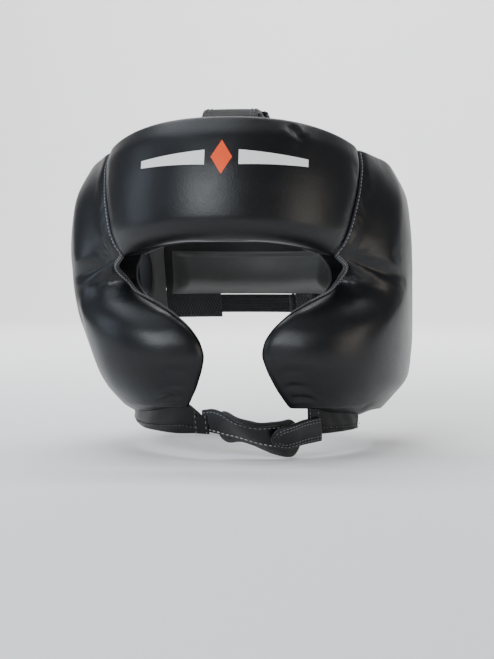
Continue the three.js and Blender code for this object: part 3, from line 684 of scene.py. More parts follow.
def rear_place(u, v, w):
    rim = 1 - (1 - np.exp(-((np.minimum(u, 1 - u) / 0.045) ** 2))) * (
        1 - np.exp(-((np.minimum(v, 1 - v) / 0.09) ** 2))
    )
    middle = eased(u, 0.04, 0.09) * (1 - eased(u, 0.91, 0.96))
    ridge = eased(v, -0.04, 0.13) * (1 - 0.35 * eased(v, 0.13, 0.36)) * (1 - eased(v, 0.35, 0.40)) * middle
    inner = mixed(-1.0, 4.5, rim * (1 - 0.8 * ridge)) - 7.5 * ridge
    outer = (rear_thick - 0.8) * boxy(u) * boxy(v) - 2.0 * rim
    angle = mixed(rear_start, 360 - rear_start, u)
    height = mixed(rear_low, rear_high, v) - 6.5 * (1 - w) ** 2.5 * np.exp(-((v / 0.14) ** 2))
    return on_last(angle, height, mixed(inner, outer, w))


# grey copy of the black leather, far lighter than the cover: painted light on the rear ridge and inner ear faces
inner_leather_painted_light = leather_finish("inner_leather_painted_light", (0.085, 0.085, 0.083), 0.46, grain=1.6)
# the rear pad's inner faces take the lightened lining leather of painted light
rear_pad, rear_share = closed_shell("rear_pad", (110, 60, 8), rear_place, lining_leather_painted_light)
wall_finish(rear_pad, rear_share, 2, 1, cover_leather)
rear_pad.data.materials.append(inner_leather_painted_light)
rear_along, rear_up, rear_through = rear_share.T
# the lower ridge's faces take the grey leather of painted light
on_ridge = (rear_through < 0.3) & (rear_up < 0.42) & (rear_along > 0.03) & (rear_along < 0.97)
for face in rear_pad.data.polygons:
    if all(on_ridge[v] for v in face.vertices):
        face.material_index = 2
rear_rim = np.minimum(np.minimum(rear_along, 1 - rear_along), np.minimum(rear_up, 1 - rear_up))
stuff(rear_pad, (rear_rim < 0.012) | (np.abs(rear_up - 0.37) < 0.03), 1.0, 0.0, 0.0015)
refine(rear_pad)
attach(rear_pad, "shell")
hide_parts("rear_pad_cover", "rear_pad_foam", "rear_pad_lining")

# ---------------------------------------------------------------- ear panels
# A thinner quilted panel behind each cheek pad, leather outside and in. It is cut away round the ear, with a
# bound rim.
ear_end, ear_end_low, ear_end_high = 129.0, 86.0, 168.0
ear_angle, ear_height, ear_wide, ear_tall = 112.0, 124.0, 22.0, 38.0
ear_lower = curve_through([(0, 54.5), (0.5, 68), (1, ear_end_low)], 0.05)
ear_upper = curve_through([(0, ear_top), (1, ear_end_high)], 0.05)


def ear_panel(side, flip, seed):
    around, across = 96, 22

    def outline(t):
        """The panel's edge, as angle and height, for t from 0 to 1 round it."""
        front_low, front_high = 54.5, ear_top
        t = np.mod(t, 1)
        angle, height = np.zeros_like(t), np.zeros_like(t)
        legs = ((0, 0.34), (0.34, 0.46), (0.46, 0.80), (0.80, 1.0))
        for k, (a, b) in enumerate(legs):
            s = np.clip((t - a) / (b - a), 0, 1)
            here = (t >= a) & (t < b)
            if k == 0:
                z = mixed(front_low, front_high, s)
                x = back_edge(z) + 0.8 / along_last(100, z)
            elif k == 1:
                x0 = back_edge(front_high) + 0.8 / along_last(100, front_high)
                x = mixed(x0, ear_end, s)
                z = ear_upper(s)
            elif k == 2:
                x = np.full_like(s, ear_end)
                z = mixed(ear_end_high, ear_end_low, s)
            else:
                x0 = back_edge(front_low) + 0.8 / along_last(100, front_low)
                x = mixed(ear_end, x0, s)
                z = ear_lower(1 - s)
            angle, height = np.where(here, x, angle), np.where(here, z, height)
        return angle, height

    t = np.arange(around) / around
    edge_angle, edge_height = outline(t)
    mm = along_last(ear_angle, ear_height)
    ring_turn = np.arctan2(edge_height - ear_height, (edge_angle - ear_angle) * mm)
    hole_angle = ear_angle + (ear_wide / 2 - 0.3) * np.cos(ring_turn) / mm
    hole_height = ear_height + (ear_tall / 2 - 0.3) * np.sin(ring_turn)
    points, faces = [], []
    for face in (0, 1):
        for j in range(across + 1):
            s = j / across
            angle = mixed(hole_angle, edge_angle, s)
            height = mixed(hole_height, edge_height, s)
            rim = np.minimum(s, 1 - s)
            puff = 1 - np.exp(-((rim / 0.07) ** 2))
            random = np.sin(ring_turn * 7 + 3 * s + seed) * 0.25 + np.sin(ring_turn * 11 - 5 * s) * 0.15
            if face:
                quilt = np.exp(-(((s - 0.86) / 0.02) ** 2)) + np.exp(-(((s - 0.2) / 0.02) ** 2))
                out = 5.0 + 6.2 * puff + random * puff - 1.3 * quilt
            else:
                out = 3.6 - 3.4 * puff - 0.4 * puff * np.sin(np.pi * s) + 0.5 * random * puff
            points.append(on_last(angle, height, np.broadcast_to(out, angle.shape), flip))
    points = np.concatenate(points)

    def number(face, j, i):
        return (face * (across + 1) + j) * around + i % around

    for i in range(around):
        for j in range(across):
            faces.append((number(1, j, i), number(1, j + 1, i), number(1, j + 1, i + 1), number(1, j, i + 1)))
            faces.append((number(0, j, i + 1), number(0, j + 1, i + 1), number(0, j + 1, i), number(0, j, i)))
        for j, turned in ((0, False), (across, True)):
            wall = (number(0, j, i), number(1, j, i), number(1, j, i + 1), number(0, j, i + 1))
            faces.append(wall[::-1] if turned else wall)
    # inner face and edge walls in the grey leather of painted light, outer face in the black cover
    panel = mesh_piece("ear_pad_" + side, points, faces, inner_leather_painted_light)
    panel.data.materials.append(cover_leather)
    for face in panel.data.polygons:
        face.material_index = int(min(face.vertices) >= len(points) // 2)
    face_out(panel)
    refine(panel)
    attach(panel, "shell")
    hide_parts("ear_panel_" + side, "ear_lining_" + side)

    turns = np.linspace(0, 2 * np.pi, 64, endpoint=False)
    tube = np.linspace(0, 2 * np.pi, 16, endpoint=False)
    rim_points = []
    for a in tube:
        grow = 1.35 * np.cos(a)
        out = 6.3 + 6.9 * np.sin(a)
        angle = ear_angle + (ear_wide / 2 - 1.5 + grow) * np.cos(turns) / mm
        height = ear_height + (ear_tall / 2 - 1.5 + grow) * np.sin(turns)
        rim_points.append(on_last(angle, height, out, flip))
    rim_points = np.stack(rim_points, 1).reshape(-1, 3)
    rim_faces = [
        (i * 16 + k, (i + 1) % 64 * 16 + k, (i + 1) % 64 * 16 + (k + 1) % 16, i * 16 + (k + 1) % 16)
        for i in range(64)
        for k in range(16)
    ]
    rim = mesh_piece("ear_rim_" + side, rim_points, rim_faces, binding_tape)
    face_out(rim)
    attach(rim, "shell")
    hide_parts("ear_ring_" + side)


def face_out(piece):
    """Turns a closed piece's faces outwards."""
    shape = bmesh.new()
    shape.from_mesh(piece.data)
    bmesh.ops.recalc_face_normals(shape, faces=shape.faces)
    if shape.calc_volume(signed=True) < 0:
        bmesh.ops.reverse_faces(shape, faces=shape.faces)
    shape.to_mesh(piece.data)
    shape.free()
    piece.data.update()


def woven_finish(name, colour, pitch_mm, gloss=0.75, ribs=False):
    """Woven tape: yarns over and under each other, on the strap's own lengths in metres."""
    finish = Finish(name, Sheen_Weight=0.25, Sheen_Roughness=0.5)
    place = finish.make("ShaderNodeUVMap", {"uv_map": "UVMap"})["UV"]
    split = finish.make("ShaderNodeSeparateXYZ", {}, place)
    rate = 2 * math.pi / (pitch_mm / 1000)
    along = finish.make("ShaderNodeMath", {"operation": "SINE"}, split["X"] * rate)["Value"]
    turn = split["Y"] * rate * (1 if ribs else 0.5)
    across = finish.make("ShaderNodeMath", {"operation": "SINE"}, turn)["Value"]
    yarn = across * 0.8 + along * 0.1 if ribs else along * across
    fuzz = finish.make("ShaderNodeTexNoise", {}, Vector=place, Scale=2600.0, Detail=3.0)["Fac"]
    dark = tuple(c * 0.45 for c in colour) + (1,)
    light = tuple(c * 1.7 for c in colour) + (1,)
    finish.drive(Base_Color=finish.blend(yarn * 0.4 + 0.35 + (fuzz - 0.5) * 0.5, dark, light))
    finish.drive(Roughness=gloss + (fuzz - 0.5) * 0.3)
    finish.bump(yarn + fuzz * 0.6, 0.6, 0.0005)
    return finish.material


binding_tape = woven_finish("binding_tape", (0.012, 0.013, 0.016), 0.9)
ear_panel("left", False, 0.4)
ear_panel("right", True, 2.2)

# ---------------------------------------------------------------- temple seams
# Between the brow pad and each side pad runs a piped seam: a cord in a folded strip, sewn down one side.


def stitch_tree():
    """Stitches set at even steps along the edges of a plain mesh of lines."""
    tree = bpy.data.node_groups.new("stitches", "GeometryNodeTree")
    face = tree.interface
    face.new_socket("Geometry", in_out="INPUT", socket_type="NodeSocketGeometry")
    for name, kind, value in (
        ("Step", "NodeSocketFloat", 0.004),
        ("Length", "NodeSocketFloat", 0.003),
        ("Thickness", "NodeSocketFloat", 0.0007),
        ("Sway", "NodeSocketFloat", 0.08),
        ("Seed", "NodeSocketInt", 1),
        ("Thread", "NodeSocketMaterial", None),
    ):
        socket = face.new_socket(name, in_out="INPUT", socket_type=kind)
        if value is not None:
            socket.default_value = value
    face.new_socket("Geometry", in_out="OUTPUT", socket_type="NodeSocketGeometry")
    nodes, links = tree.nodes, tree.links

    def node(kind, settings=None, **inputs):
        made = nodes.new(kind)
        for key, value in (settings or {}).items():
            setattr(made, key, value)
        for key, value in inputs.items():
            socket = made.inputs[key.replace("_", " ")]
            if isinstance(value, bpy.types.NodeSocket):
                links.new(value, socket)
            else:
                socket.default_value = value
        return made

    given = node("NodeGroupInput").outputs
    lines = node("GeometryNodeMeshToCurve", Mesh=given["Geometry"])
    places = node("GeometryNodeCurveToPoints", {"mode": "LENGTH"}, Curve=lines.outputs[0], Length=given["Step"])
    bead = node("GeometryNodeMeshUVSphere", Segments=8, Rings=6, Radius=0.5)
    scale = node("ShaderNodeCombineXYZ", X=given["Thickness"], Y=given["Thickness"], Z=given["Length"])
    thread = node("GeometryNodeTransform", Geometry=bead.outputs["Mesh"], Scale=scale.outputs[0])
    swing = node("FunctionNodeRandomValue", {"data_type": "FLOAT_VECTOR"}, Seed=given["Seed"])
    swing.inputs["Min"].default_value = (-1, -1, 0)
    swing.inputs["Max"].default_value = (1, 1, 0)
    sway = node("ShaderNodeVectorMath", {"operation": "SCALE"})
    links.new(swing.outputs["Value"], sway.inputs[0])
    links.new(given["Sway"], sway.inputs["Scale"])
    turned = node("FunctionNodeRotateRotation", {"rotation_space": "LOCAL"}, Rotation=places.outputs["Rotation"])
    turn = node("FunctionNodeEulerToRotation", Euler=sway.outputs[0])
    links.new(turn.outputs[0], turned.inputs["Rotate By"])
    set_on = node(
        "GeometryNodeInstanceOnPoints",
        Points=places.outputs["Points"],
        Instance=thread.outputs["Geometry"],
        Rotation=turned.outputs[0],
    )
    real = node("GeometryNodeRealizeInstances", Geometry=set_on.outputs["Instances"])
    smooth = node("GeometryNodeSetShadeSmooth", Geometry=real.outputs["Geometry"])
    finish = node("GeometryNodeSetMaterial", Geometry=smooth.outputs["Geometry"], Material=given["Thread"])
    links.new(finish.outputs["Geometry"], node("NodeGroupOutput").inputs["Geometry"])
    return tree


stitch_nodes = stitch_tree()


def stitches(name, lines, body, thread, step, length, thick, seed=1):
    """Sews along each line, a list of places in metres; step, length and thick are in millimetres."""
    mesh = bpy.data.meshes.new(name)
    points = np.concatenate([np.asarray(line, float) for line in lines])
    edges, start = [], 0
    for line in lines:
        edges += [(start + k, start + k + 1) for k in range(len(line) - 1)]
        start += len(line)
    mesh.from_pydata([tuple(p) for p in points], edges, [])
    row = bpy.data.objects.new(name, mesh)
    bpy.context.scene.collection.objects.link(row)
    sewing = row.modifiers.new("sewing", "NODES")
    sewing.node_group = stitch_nodes
    sockets = {item.name: item.identifier for item in stitch_nodes.interface.items_tree if item.in_out == "INPUT"}
    sewing[sockets["Step"]] = step / 1000
    sewing[sockets["Length"]] = length / 1000
    sewing[sockets["Thickness"]] = thick / 1000
    sewing[sockets["Seed"]] = seed
    sewing[sockets["Thread"]] = thread
    sewn = bpy.data.meshes.new_from_object(row.evaluated_get(bpy.context.evaluated_depsgraph_get()))
    row.modifiers.clear()
    row.data = sewn
    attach(row, body)
    return row


def thread_finish(name, colour):
    finish = Finish(name, Sheen_Weight=0.3)
    place = finish.make("ShaderNodeTexCoord")["Object"]
    twist = finish.make("ShaderNodeTexNoise", {}, Vector=place, Scale=1800.0)["Fac"]
    dark = tuple(c * 0.6 for c in colour) + (1,)
    finish.drive(Base_Color=finish.blend(twist, dark, tuple(colour) + (1,)), Roughness=0.55 + twist * 0.2)
    finish.bump(twist, 0.4, 0.0002)
    return finish.material


black_thread = thread_finish("black_thread", (0.010, 0.011, 0.014))
grey_thread = thread_finish("grey_thread", (0.16, 0.18, 0.21))
pale_thread = thread_finish("pale_thread", (0.34, 0.36, 0.39))
white_thread = thread_finish("white_thread", (0.55, 0.55, 0.54))


def tube_faces(rows, around, closed=False):
    """The faces of a tube of rings of points: shut at both ends, or bent round so that it meets itself."""
    rings = [(k * around, (k + 1) % rows * around) for k in range(rows if closed else rows - 1)]
    faces = [
        (here + j, here + (j + 1) % around, ahead + (j + 1) % around, ahead + j)
        for here, ahead in rings
        for j in range(around)
    ]
    if not closed:
        faces += [tuple(range(around))[::-1], tuple((rows - 1) * around + j for j in range(around))]
    return faces


def temple_piping(side, flip):
    heights = np.linspace(brow_side + 0.6, forehead_side_high + 0.2, 70)
    share = (heights - brow_side) / (forehead_side_high - brow_side)
    top = (forehead_thick - 1.5) * rise_at_seam(share) * 0.8 - 0.9
    angle = seam_angle(heights)
    mm = along_last(seam_low, heights)
    bead = np.radians(np.linspace(-60, 240, 13))
    points = []
    for k in range(len(heights)):
        outline = [(-0.45, 1.4), (0.45, 1.4)]
        outline += [(0.8 * math.cos(b), top[k] - 0.8 + 0.8 * math.sin(b)) for b in bead]
        points += [on_last(angle[k] + a / mm[k], heights[k], out, flip) for a, out in outline]
    faces = tube_faces(len(heights), len(bead) + 2)
    # the piping takes the lighter, bluer leather of the painted glint
    piping = mesh_piece("temple_piping_" + side, points, faces, piping_leather_painted_glint)
    face_out(piping)
    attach(piping, "shell")
    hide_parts("temple_welt_" + side)
    rows = [on_last(angle + off / mm, heights, top - 0.15, flip) for off in (0.75,)]
    stitches("temple_stitches_" + side, rows, "shell", pale_thread, 2.7, 1.9, 0.5, 3)


# lighter and bluer than the black cover: a painted highlight, the blue glint along the piping's bead
piping_leather_painted_glint = leather_finish("piping_leather_painted_glint", (0.012, 0.014, 0.019), 0.34)
temple_piping("left", False)
temple_piping("right", True)

# ---------------------------------------------------------------- eye binding
# The cut edge of each side pad, from the brow down round the eye and the mouth, is bound with folded tape.


def eye_binding(side, rims):
    sewn, cover, behind = rims
    ahead = (cover - behind) / np.linalg.norm(cover - behind, axis=1, keepdims=True)
    lines = sewn + 0.0011 * ahead, cover + 0.0011 * ahead
    height = upright(lines[0])[:, 2]
    climb = eased(height, 99, 112)[:, None]
    path = mixed(lines[0], lines[1] - (0.0004, 0, 0.0002), climb)[height < brow_side + 2]
    run = np.concatenate([[0], np.cumsum(np.linalg.norm(np.diff(path, axis=0), axis=1))])
    even = np.linspace(0, run[-1], 150)
    path = np.stack([np.interp(even, run, path[:, k]) for k in range(3)], -1)
    tangent = np.gradient(path, axis=0)
    tangent /= np.linalg.norm(tangent, axis=1, keepdims=True)
    out = path * (1, 1, 0)
    out -= tangent * np.sum(out * tangent, axis=1, keepdims=True)
    out /= np.linalg.norm(out, axis=1, keepdims=True)
    across = np.cross(tangent, out)
    turns = np.linspace(0, 2 * np.pi, 14, endpoint=False)
    rings = [path + 0.0011 * math.cos(t) * across + 0.0016 * math.sin(t) * out for t in turns]
    points = np.stack(rings, 1).reshape(-1, 3)
    uv = [(d, 0.0014 * t) for d in even for t in turns]
    rows = len(path)
    faces = tube_faces(rows, len(turns))
    binding = mesh_piece("eye_edge_" + side, points, faces, binding_tape, uv)
    face_out(binding)
    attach(binding, "shell")
    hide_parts("eye_binding_" + side)
    # two rows of stitches hold the tape beside the eye
    seen = slice(int(rows * 0.62), rows - 2)
    sewing = [path[seen] + 0.0017 * (out * math.sin(t) + across * math.cos(t))[seen] for t in (1.1, 2.0)]
    stitches("eye_edge_stitches_" + side, sewing, "shell", pale_thread, 2.1, 1.5, 0.42, 51)


eye_binding("left", left_rims)
eye_binding("right", right_rims)

# ---------------------------------------------------------------- straps
# Straps are cut flat, their edges rounded off, and follow a line laid over the last.


def strap(name, line, across, out, width, thick, finish, round_start=0, round_end=0, cells=90, arch=0.0, wave=0.0):
    """A strap whose middle runs along line (millimetres); across and out are its unit vectors there."""
    line, across, out = (np.asarray(x, float) for x in (line, across, out))
    run = np.concatenate([[0], np.cumsum(np.linalg.norm(np.diff(line, axis=0), axis=1))])
    total = run[-1]
    rows = [np.linspace(0, total, cells)]
    for radius, start, way in ((round_start, 0, 1), (round_end, total, -1)):
        if radius:
            rows.append(start + way * radius * (1 - np.cos(np.linspace(0.06, np.pi / 2, 12))))
    rows = np.unique(np.round(np.concatenate(rows), 3))
    if round_start:
        rows = rows[rows > 0.001 * round_start]
    if round_end:
        rows = rows[rows < total - 0.001 * round_end]
    full = np.broadcast_to(np.asarray(width, float), run.shape)
    half = np.interp(rows, run, full) / 2
    for radius, gap in ((round_start, rows), (round_end, total - rows)):
        if radius:
            half = half * np.sqrt(np.clip(1 - (np.clip(radius - gap, 0, None) / radius) ** 2, 0.0005, 1))
    at = np.stack([np.interp(rows, run, line[:, k]) for k in range(3)], -1)
    side = np.stack([np.interp(rows, run, across[:, k]) for k in range(3)], -1)
    up = np.stack([np.interp(rows, run, out[:, k]) for k in range(3)], -1)
    side /= np.linalg.norm(side, axis=1, keepdims=True)
    up /= np.linalg.norm(up, axis=1, keepdims=True)
    flat = np.linspace(-1, 1, 11)
    bend = np.radians(np.linspace(90, -90, 7))[1:-1]
    points, uv = [], []
    for k in range(len(rows)):
        radius = min(thick / 2, half[k])
        inner = half[k] - radius
        section = [(a * inner, thick / 2 + arch * (1 - a * a)) for a in flat]
        section += [(inner + radius * math.cos(b), thick / 2 * math.sin(b)) for b in bend]
        section += [(-a * inner, -thick / 2) for a in flat]
        section += [(-inner - radius * math.cos(b), thick / 2 * math.sin(b)) for b in -bend]
        sway = wave * math.sin(rows[k] * 0.19 + 1.3) + 0.6 * wave * math.sin(rows[k] * 0.43)
        for a, b in section:
            tilt = 1 + 0.35 * math.sin(rows[k] * 0.27) * (a / (half[k] + 1e-6))
            points.append(at[k] + side[k] * a + up[k] * (b + sway * tilt))
            uv.append((rows[k] / 1000, a / 1000))
    around = len(section)
    count = len(rows)
    points += [at[0], at[-1]]
    uv += [(rows[0] / 1000, 0), (rows[-1] / 1000, 0)]
    faces = []
    for k in range(count - 1):
        for j in range(around):
            near, far = k * around, (k + 1) * around
            faces.append((near + j, near + (j + 1) % around, far + (j + 1) % around, far + j))
    for j in range(around):
        faces.append((count * around, (j + 1) % around, j))
        last = (count - 1) * around
        faces.append((count * around + 1, last + j, last + (j + 1) % around))
    piece = mesh_piece(name, leaned(points), faces, finish, uv)
    face_out(piece)
    return piece


def fit(piece, body, node):
    """Gives a piece the body it moves with and the plain solid that it stands for."""
    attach(piece, body)
    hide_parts(node)


def beside(line, across, out, shift, lift, start=0.0, end=1.0, count=120):
    """A line in metres along a strap, shift to its side and lift above its middle, over a share of its length."""
    line, across, out = (np.asarray(x, float) for x in (line, across, out))
    run = np.concatenate([[0], np.cumsum(np.linalg.norm(np.diff(line, axis=0), axis=1))])
    rows = np.linspace(start * run[-1], end * run[-1], count)
    moved = line + across * shift + out * lift
    return leaned(np.stack([np.interp(rows, run, moved[:, k]) for k in range(3)], -1))


def round_head(start, end, height, lift, flip=False, count=160):
    """The line, width direction and outward direction of a strap round the last at one height."""
    degrees = np.linspace(start, end, count)
    height = np.full(count, float(height))
    near = upright(on_last(degrees, height, lift(degrees), flip))
    far = upright(on_last(degrees, height, lift(degrees) + 1, flip))
    tangent = np.gradient(near, axis=0)
    up = np.tile([0.0, 0.0, 1.0], (count, 1))
    out = np.cross(tangent, up)
    out /= np.linalg.norm(out, axis=1, keepdims=True)
    facing = np.sum(out * (far - near), axis=1, keepdims=True)
    return near, up, out * np.sign(facing)


# ---------------------------------------------------------------- rear closure
# Behind the neck the shell is drawn in by webbing sewn to each ear pad, a flat elastic, a plastic buckle with
# rounded corners, and a tab with hook-and-loop that folds back over the elastic.
closure_height = 99.0
webbing_tape = woven_finish("webbing_tape", (0.048, 0.049, 0.052), 2.4)
elastic_tape = woven_finish("elastic_tape", (0.034, 0.035, 0.038), 1.2, ribs=True)
loop_pile = woven_finish("loop_pile", (0.013, 0.014, 0.016), 0.6, gloss=0.92)

plastic = Finish("black_plastic", Roughness=0.32, IOR=1.5)
plastic_place = plastic.make("ShaderNodeTexCoord")["Object"]
plastic_cloud = plastic.make("ShaderNodeTexNoise", {}, Vector=plastic_place, Scale=600.0)["Fac"]
plastic.drive(Base_Color=plastic.blend(plastic_cloud, (0.008, 0.008, 0.009, 1), (0.014, 0.014, 0.015, 1)))
plastic.drive(Roughness=0.3 + plastic_cloud * 0.15)
plastic.bump(plastic_cloud, 0.15, 0.0002)
black_plastic = plastic.material

over_ear, webbing_lift, webbing_wide, webbing_thick = 12.45, 5.0, 21.0, 2.2
elastic_lift = webbing_lift + webbing_thick + 0.3
left_bar, right_bar = 152.2, 161.8
right_rise = curve_through([(121, over_ear), (130.5, over_ear), (143, webbing_lift), (161, webbing_lift)], 0.02)
left_rise = curve_through([(121, over_ear), (130.5, over_ear), (141, 7.8), (left_bar, 6.8)], 0.02)
left_run = round_head(121, left_bar, closure_height, lambda d: left_rise(d) + webbing_thick / 2)
right_run = round_head(121, 161, closure_height, lambda d: right_rise(d) + webbing_thick / 2, True)
elastic_run = round_head(right_bar, 208, closure_height, lambda d: np.full(d.shape, elastic_lift + 0.75))

webbing_left = strap("webbing_left", *left_run, webbing_wide, webbing_thick - 0.3, webbing_tape, cells=80)
webbing_right = strap("webbing_right", *right_run, webbing_wide, webbing_thick - 0.3, webbing_tape, cells=90)
elastic = strap("elastic", *elastic_run, 14.0, 1.3, elastic_tape, cells=120, wave=0.1)
for piece, node, slot in (
    (webbing_left, "rear_webbing_left", "webbing"),
    (webbing_right, "rear_webbing_right", "webbing"),
    (elastic, "rear_elastic", "elastic"),
):
    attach(piece, "shell")
    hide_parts(node)

# the eyes that the webbing and the elastic make round the buckle's bars
bar_lift = 5.59
bar_places = [upright(on_last(turn, closure_height, bar_lift)) for turn in (left_bar, right_bar)]
for name, centre, wide, radius_out, finish, slot in (
    ("webbing_eye", bar_places[0], webbing_wide, 3.35, webbing_tape, "webbing"),
    ("elastic_eye", bar_places[1], 14.0, 3.3, elastic_tape, "elastic"),
):
    turns = np.linspace(0, 2 * np.pi, 40, endpoint=False)
    points, uv = [], []
    section = [(-0.5, 2.1), (-0.46, 1.95), (0.46, 1.95), (0.5, 2.1)]
    section += [(0.5, radius_out - 0.2), (0.46, radius_out), (-0.46, radius_out), (-0.5, radius_out - 0.2)]
    for t in turns:
        for a, r in section:
            points.append(centre + np.array([r * math.cos(t), r * math.sin(t), a * wide]))
            uv.append((0.003 * t, a * wide / 1000))
    faces = tube_faces(len(turns), len(section), closed=True)
    eye = mesh_piece(name, leaned(points), faces, finish, uv)
    face_out(eye)
    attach(eye, "shell")


# the webbing's folded tail is left long, and lies flat behind the buckle's window
tail_run = round_head(left_bar - 3, right_bar - 2.2, closure_height, lambda d: np.full(d.shape, 3.1))
webbing_tail = strap("webbing_tail", *tail_run, webbing_wide, 1.6, webbing_tape, cells=30)
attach(webbing_tail, "shell")


def buckle():
    near, far = bar_places
    along = (far - near) / np.linalg.norm(far - near)
    up = np.array([0.0, 0.0, 1.0])
    out = np.cross(along, up)
    middle = (near + far) / 2
    half_x = np.linalg.norm(far - near) / 2
    half_z = webbing_wide / 2 + 0.4 + 1.1
    corner = 2.2
    outline = []
    for cx, cz, start in ((1, 1, 0), (-1, 1, 90), (-1, -1, 180), (1, -1, 270)):
        for turn in np.radians(np.linspace(start, start + 90, 7)):
            x = cx * (half_x - corner) + corner * math.cos(turn)
            outline.append((x, cz * (half_z - corner) + corner * math.sin(turn)))
    outline = np.array(outline)
    ahead = np.roll(outline, -1, axis=0) - np.roll(outline, 1, axis=0)
    ahead /= np.linalg.norm(ahead, axis=1, keepdims=True)
    aside = np.stack([ahead[:, 1], -ahead[:, 0]], -1)
    turns = np.linspace(0, 2 * np.pi, 12, endpoint=False)
    points = []
    for k in range(len(outline)):
        for t in turns:
            flat = outline[k] + aside[k] * 1.1 * math.cos(t)
            points.append(middle + along * flat[0] + up * flat[1] + out * 1.1 * math.sin(t))
    faces = tube_faces(len(outline), len(turns), closed=True)
    piece = mesh_piece("buckle", leaned(points), faces, black_plastic)
    face_out(piece)
    fit(piece, "shell", "rear_buckle")


buckle()

closure_start, tab_root, tab_end = 169.8, 164.8, 196.0
loop_run = round_head(closure_start, tab_end + 4, closure_height, lambda d: np.full(d.shape, 9.9))
hook_run = round_head(closure_start, tab_end - 3, closure_height, lambda d: np.full(d.shape, 11.4))
tab_rise = curve_through([(tab_root, 9.3), (closure_start - 2, 12.3), (tab_end, 12.3)], 0.02)
tab_run = round_head(tab_root, tab_end, closure_height, lambda d: tab_rise(d) + 1.0)
rear_loop = strap("rear_loop", *loop_run, 13.0, 1.1, loop_pile, 1.5, 1.5, 70)
rear_hook = strap("rear_hook", *hook_run, 13.0, 1.1, loop_pile, 1.5, 1.5, 70)
rear_tab = strap("rear_tab_leather", *tab_run, 14.0, 1.9, flap_leather, 0, 5.0, 80, 0.25)
fit(rear_loop, "shell", "rear_loop_patch")
fit(rear_hook, "rear_tab", "rear_hook_patch")
fit(rear_tab, "rear_tab", "rear_strap_tab")
tab_edges = [beside(*tab_run, s, 1.2, 0.03, 0.93) for s in (-5.4, 5.4)]
stitches("rear_tab_stitches", tab_edges, "rear_tab", black_thread, 3.2, 2.5, 0.6)
elastic_ends = [beside(*elastic_run, s, 0.85, 0.80, 0.99) for s in (-5.6, 5.6)]
elastic_ends += [beside(*elastic_run, s, 0.85, 0.02, 0.05, 20) for s in (-5.6, 0.0, 5.6)]
webbing_rows = [beside(*right_run, s, 1.25, 0.02, 0.3, 40) for s in (-8.6, 8.6)]
webbing_rows += [beside(*left_run, s, 1.25, 0.02, 0.38, 40) for s in (-8.6, 8.6)]
stitches("closure_stitches", elastic_ends + webbing_rows, "shell", black_thread, 3.0, 2.3, 0.6, 5)
elastic_middle = [beside(*elastic_run, 0.0, 0.85, 0.22, 0.98, 200)]
stitches("elastic_marker", elastic_middle, "shell", grey_thread, 2.6, 1.1, 0.5, 6)

# ---------------------------------------------------------------- crown strap
# Over the crown: a front half sewn inside the brow pad, and a rear half, sewn to the rear pad, that folds down
# over it. Hook-and-loop holds them; two double rows of stitches hold the patch to the leather.
crown_wide, strap_thick, patch_thick, gap = 36.0, 2.5, 1.2, 0.3
crown_peak, rear_thick_edge = 225.0, 0.95


def smooth_line(points, count=400):
    """A smooth line through the points, with even steps along its length."""
    points = np.asarray(points, float)
    points = np.concatenate([[2 * points[0] - points[1]], points, [2 * points[-1] - points[-2]]])
    line = []
    for k in range(len(points) - 3):
        p = points[k : k + 4]
        d = np.linalg.norm(np.diff(p, axis=0), axis=1) ** 0.5
        t1 = ((p[1] - p[0]) / d[0] - (p[2] - p[0]) / (d[0] + d[1]) + (p[2] - p[1]) / d[1]) * d[1]
        t2 = ((p[2] - p[1]) / d[1] - (p[3] - p[1]) / (d[1] + d[2]) + (p[3] - p[2]) / d[2]) * d[1]
        t = np.linspace(0, 1, 80, endpoint=k == len(points) - 4)[:, None]
        line.append((2 * t**3 - 3 * t**2 + 1) * p[1] + (-2 * t**3 + 3 * t**2) * p[2]
                    + (t**3 - 2 * t**2 + t) * t1 + (t**3 - t**2) * t2)
    line = np.concatenate(line)
    run = np.concatenate([[0], np.cumsum(np.linalg.norm(np.diff(line, axis=0), axis=1))])
    rows = np.linspace(0, run[-1], count)
    return np.stack([np.interp(rows, run, line[:, k]) for k in range(3)], -1)


def share_at(height):
    above = max(0.0, height - temple_height) / crown_rise
    return 1 - crown_taper * above**2


def crown_sag(height):
    edge = math.asin(crown_wide / 2 / (last_half_width * share_at(height)))
    return last_half_depth * share_at(height) * (1 - math.cos(edge))


sewn_in = crown_sag(forehead_side_high) + strap_thick + 4 * gap
rear_face = last_half_depth * share_at(rear_high) + rear_thick * rear_thick_edge
crown_rear_lift = strap_thick + gap + 2 * (patch_thick + gap)
crown_line = smooth_line(
    [
        (0, -last_half_depth * share_at(189) + sewn_in, 189),
        (0, -last_half_depth * share_at(211) + sewn_in, 211),
        (0, -68, crown_peak - 2),
        (0, -28, crown_peak),
        (0, 15, crown_peak),
        (0, 55, crown_peak - 9),
        (0, 87, crown_peak - 25),
        (0, rear_face + gap - crown_rear_lift, rear_high + 8),
        (0, rear_face + gap - crown_rear_lift, rear_high - 2 + gap),
    ]
)


def ribbon_run(line, across, lift, shift=0.0, start=0.0, end=1.0):
    """The line, width and outward directions of a layer that lies lift above a line, over a share of it."""
    tangent = np.gradient(line, axis=0)
    tangent /= np.linalg.norm(tangent, axis=1, keepdims=True)
    out = np.cross(tangent, across)
    out /= np.linalg.norm(out, axis=1, keepdims=True)
    first, last = int(round(start * (len(line) - 1))), int(round(end * (len(line) - 1))) + 1
    shifted = line + across * shift + out * lift
    return shifted[first:last], across[first:last], out[first:last]


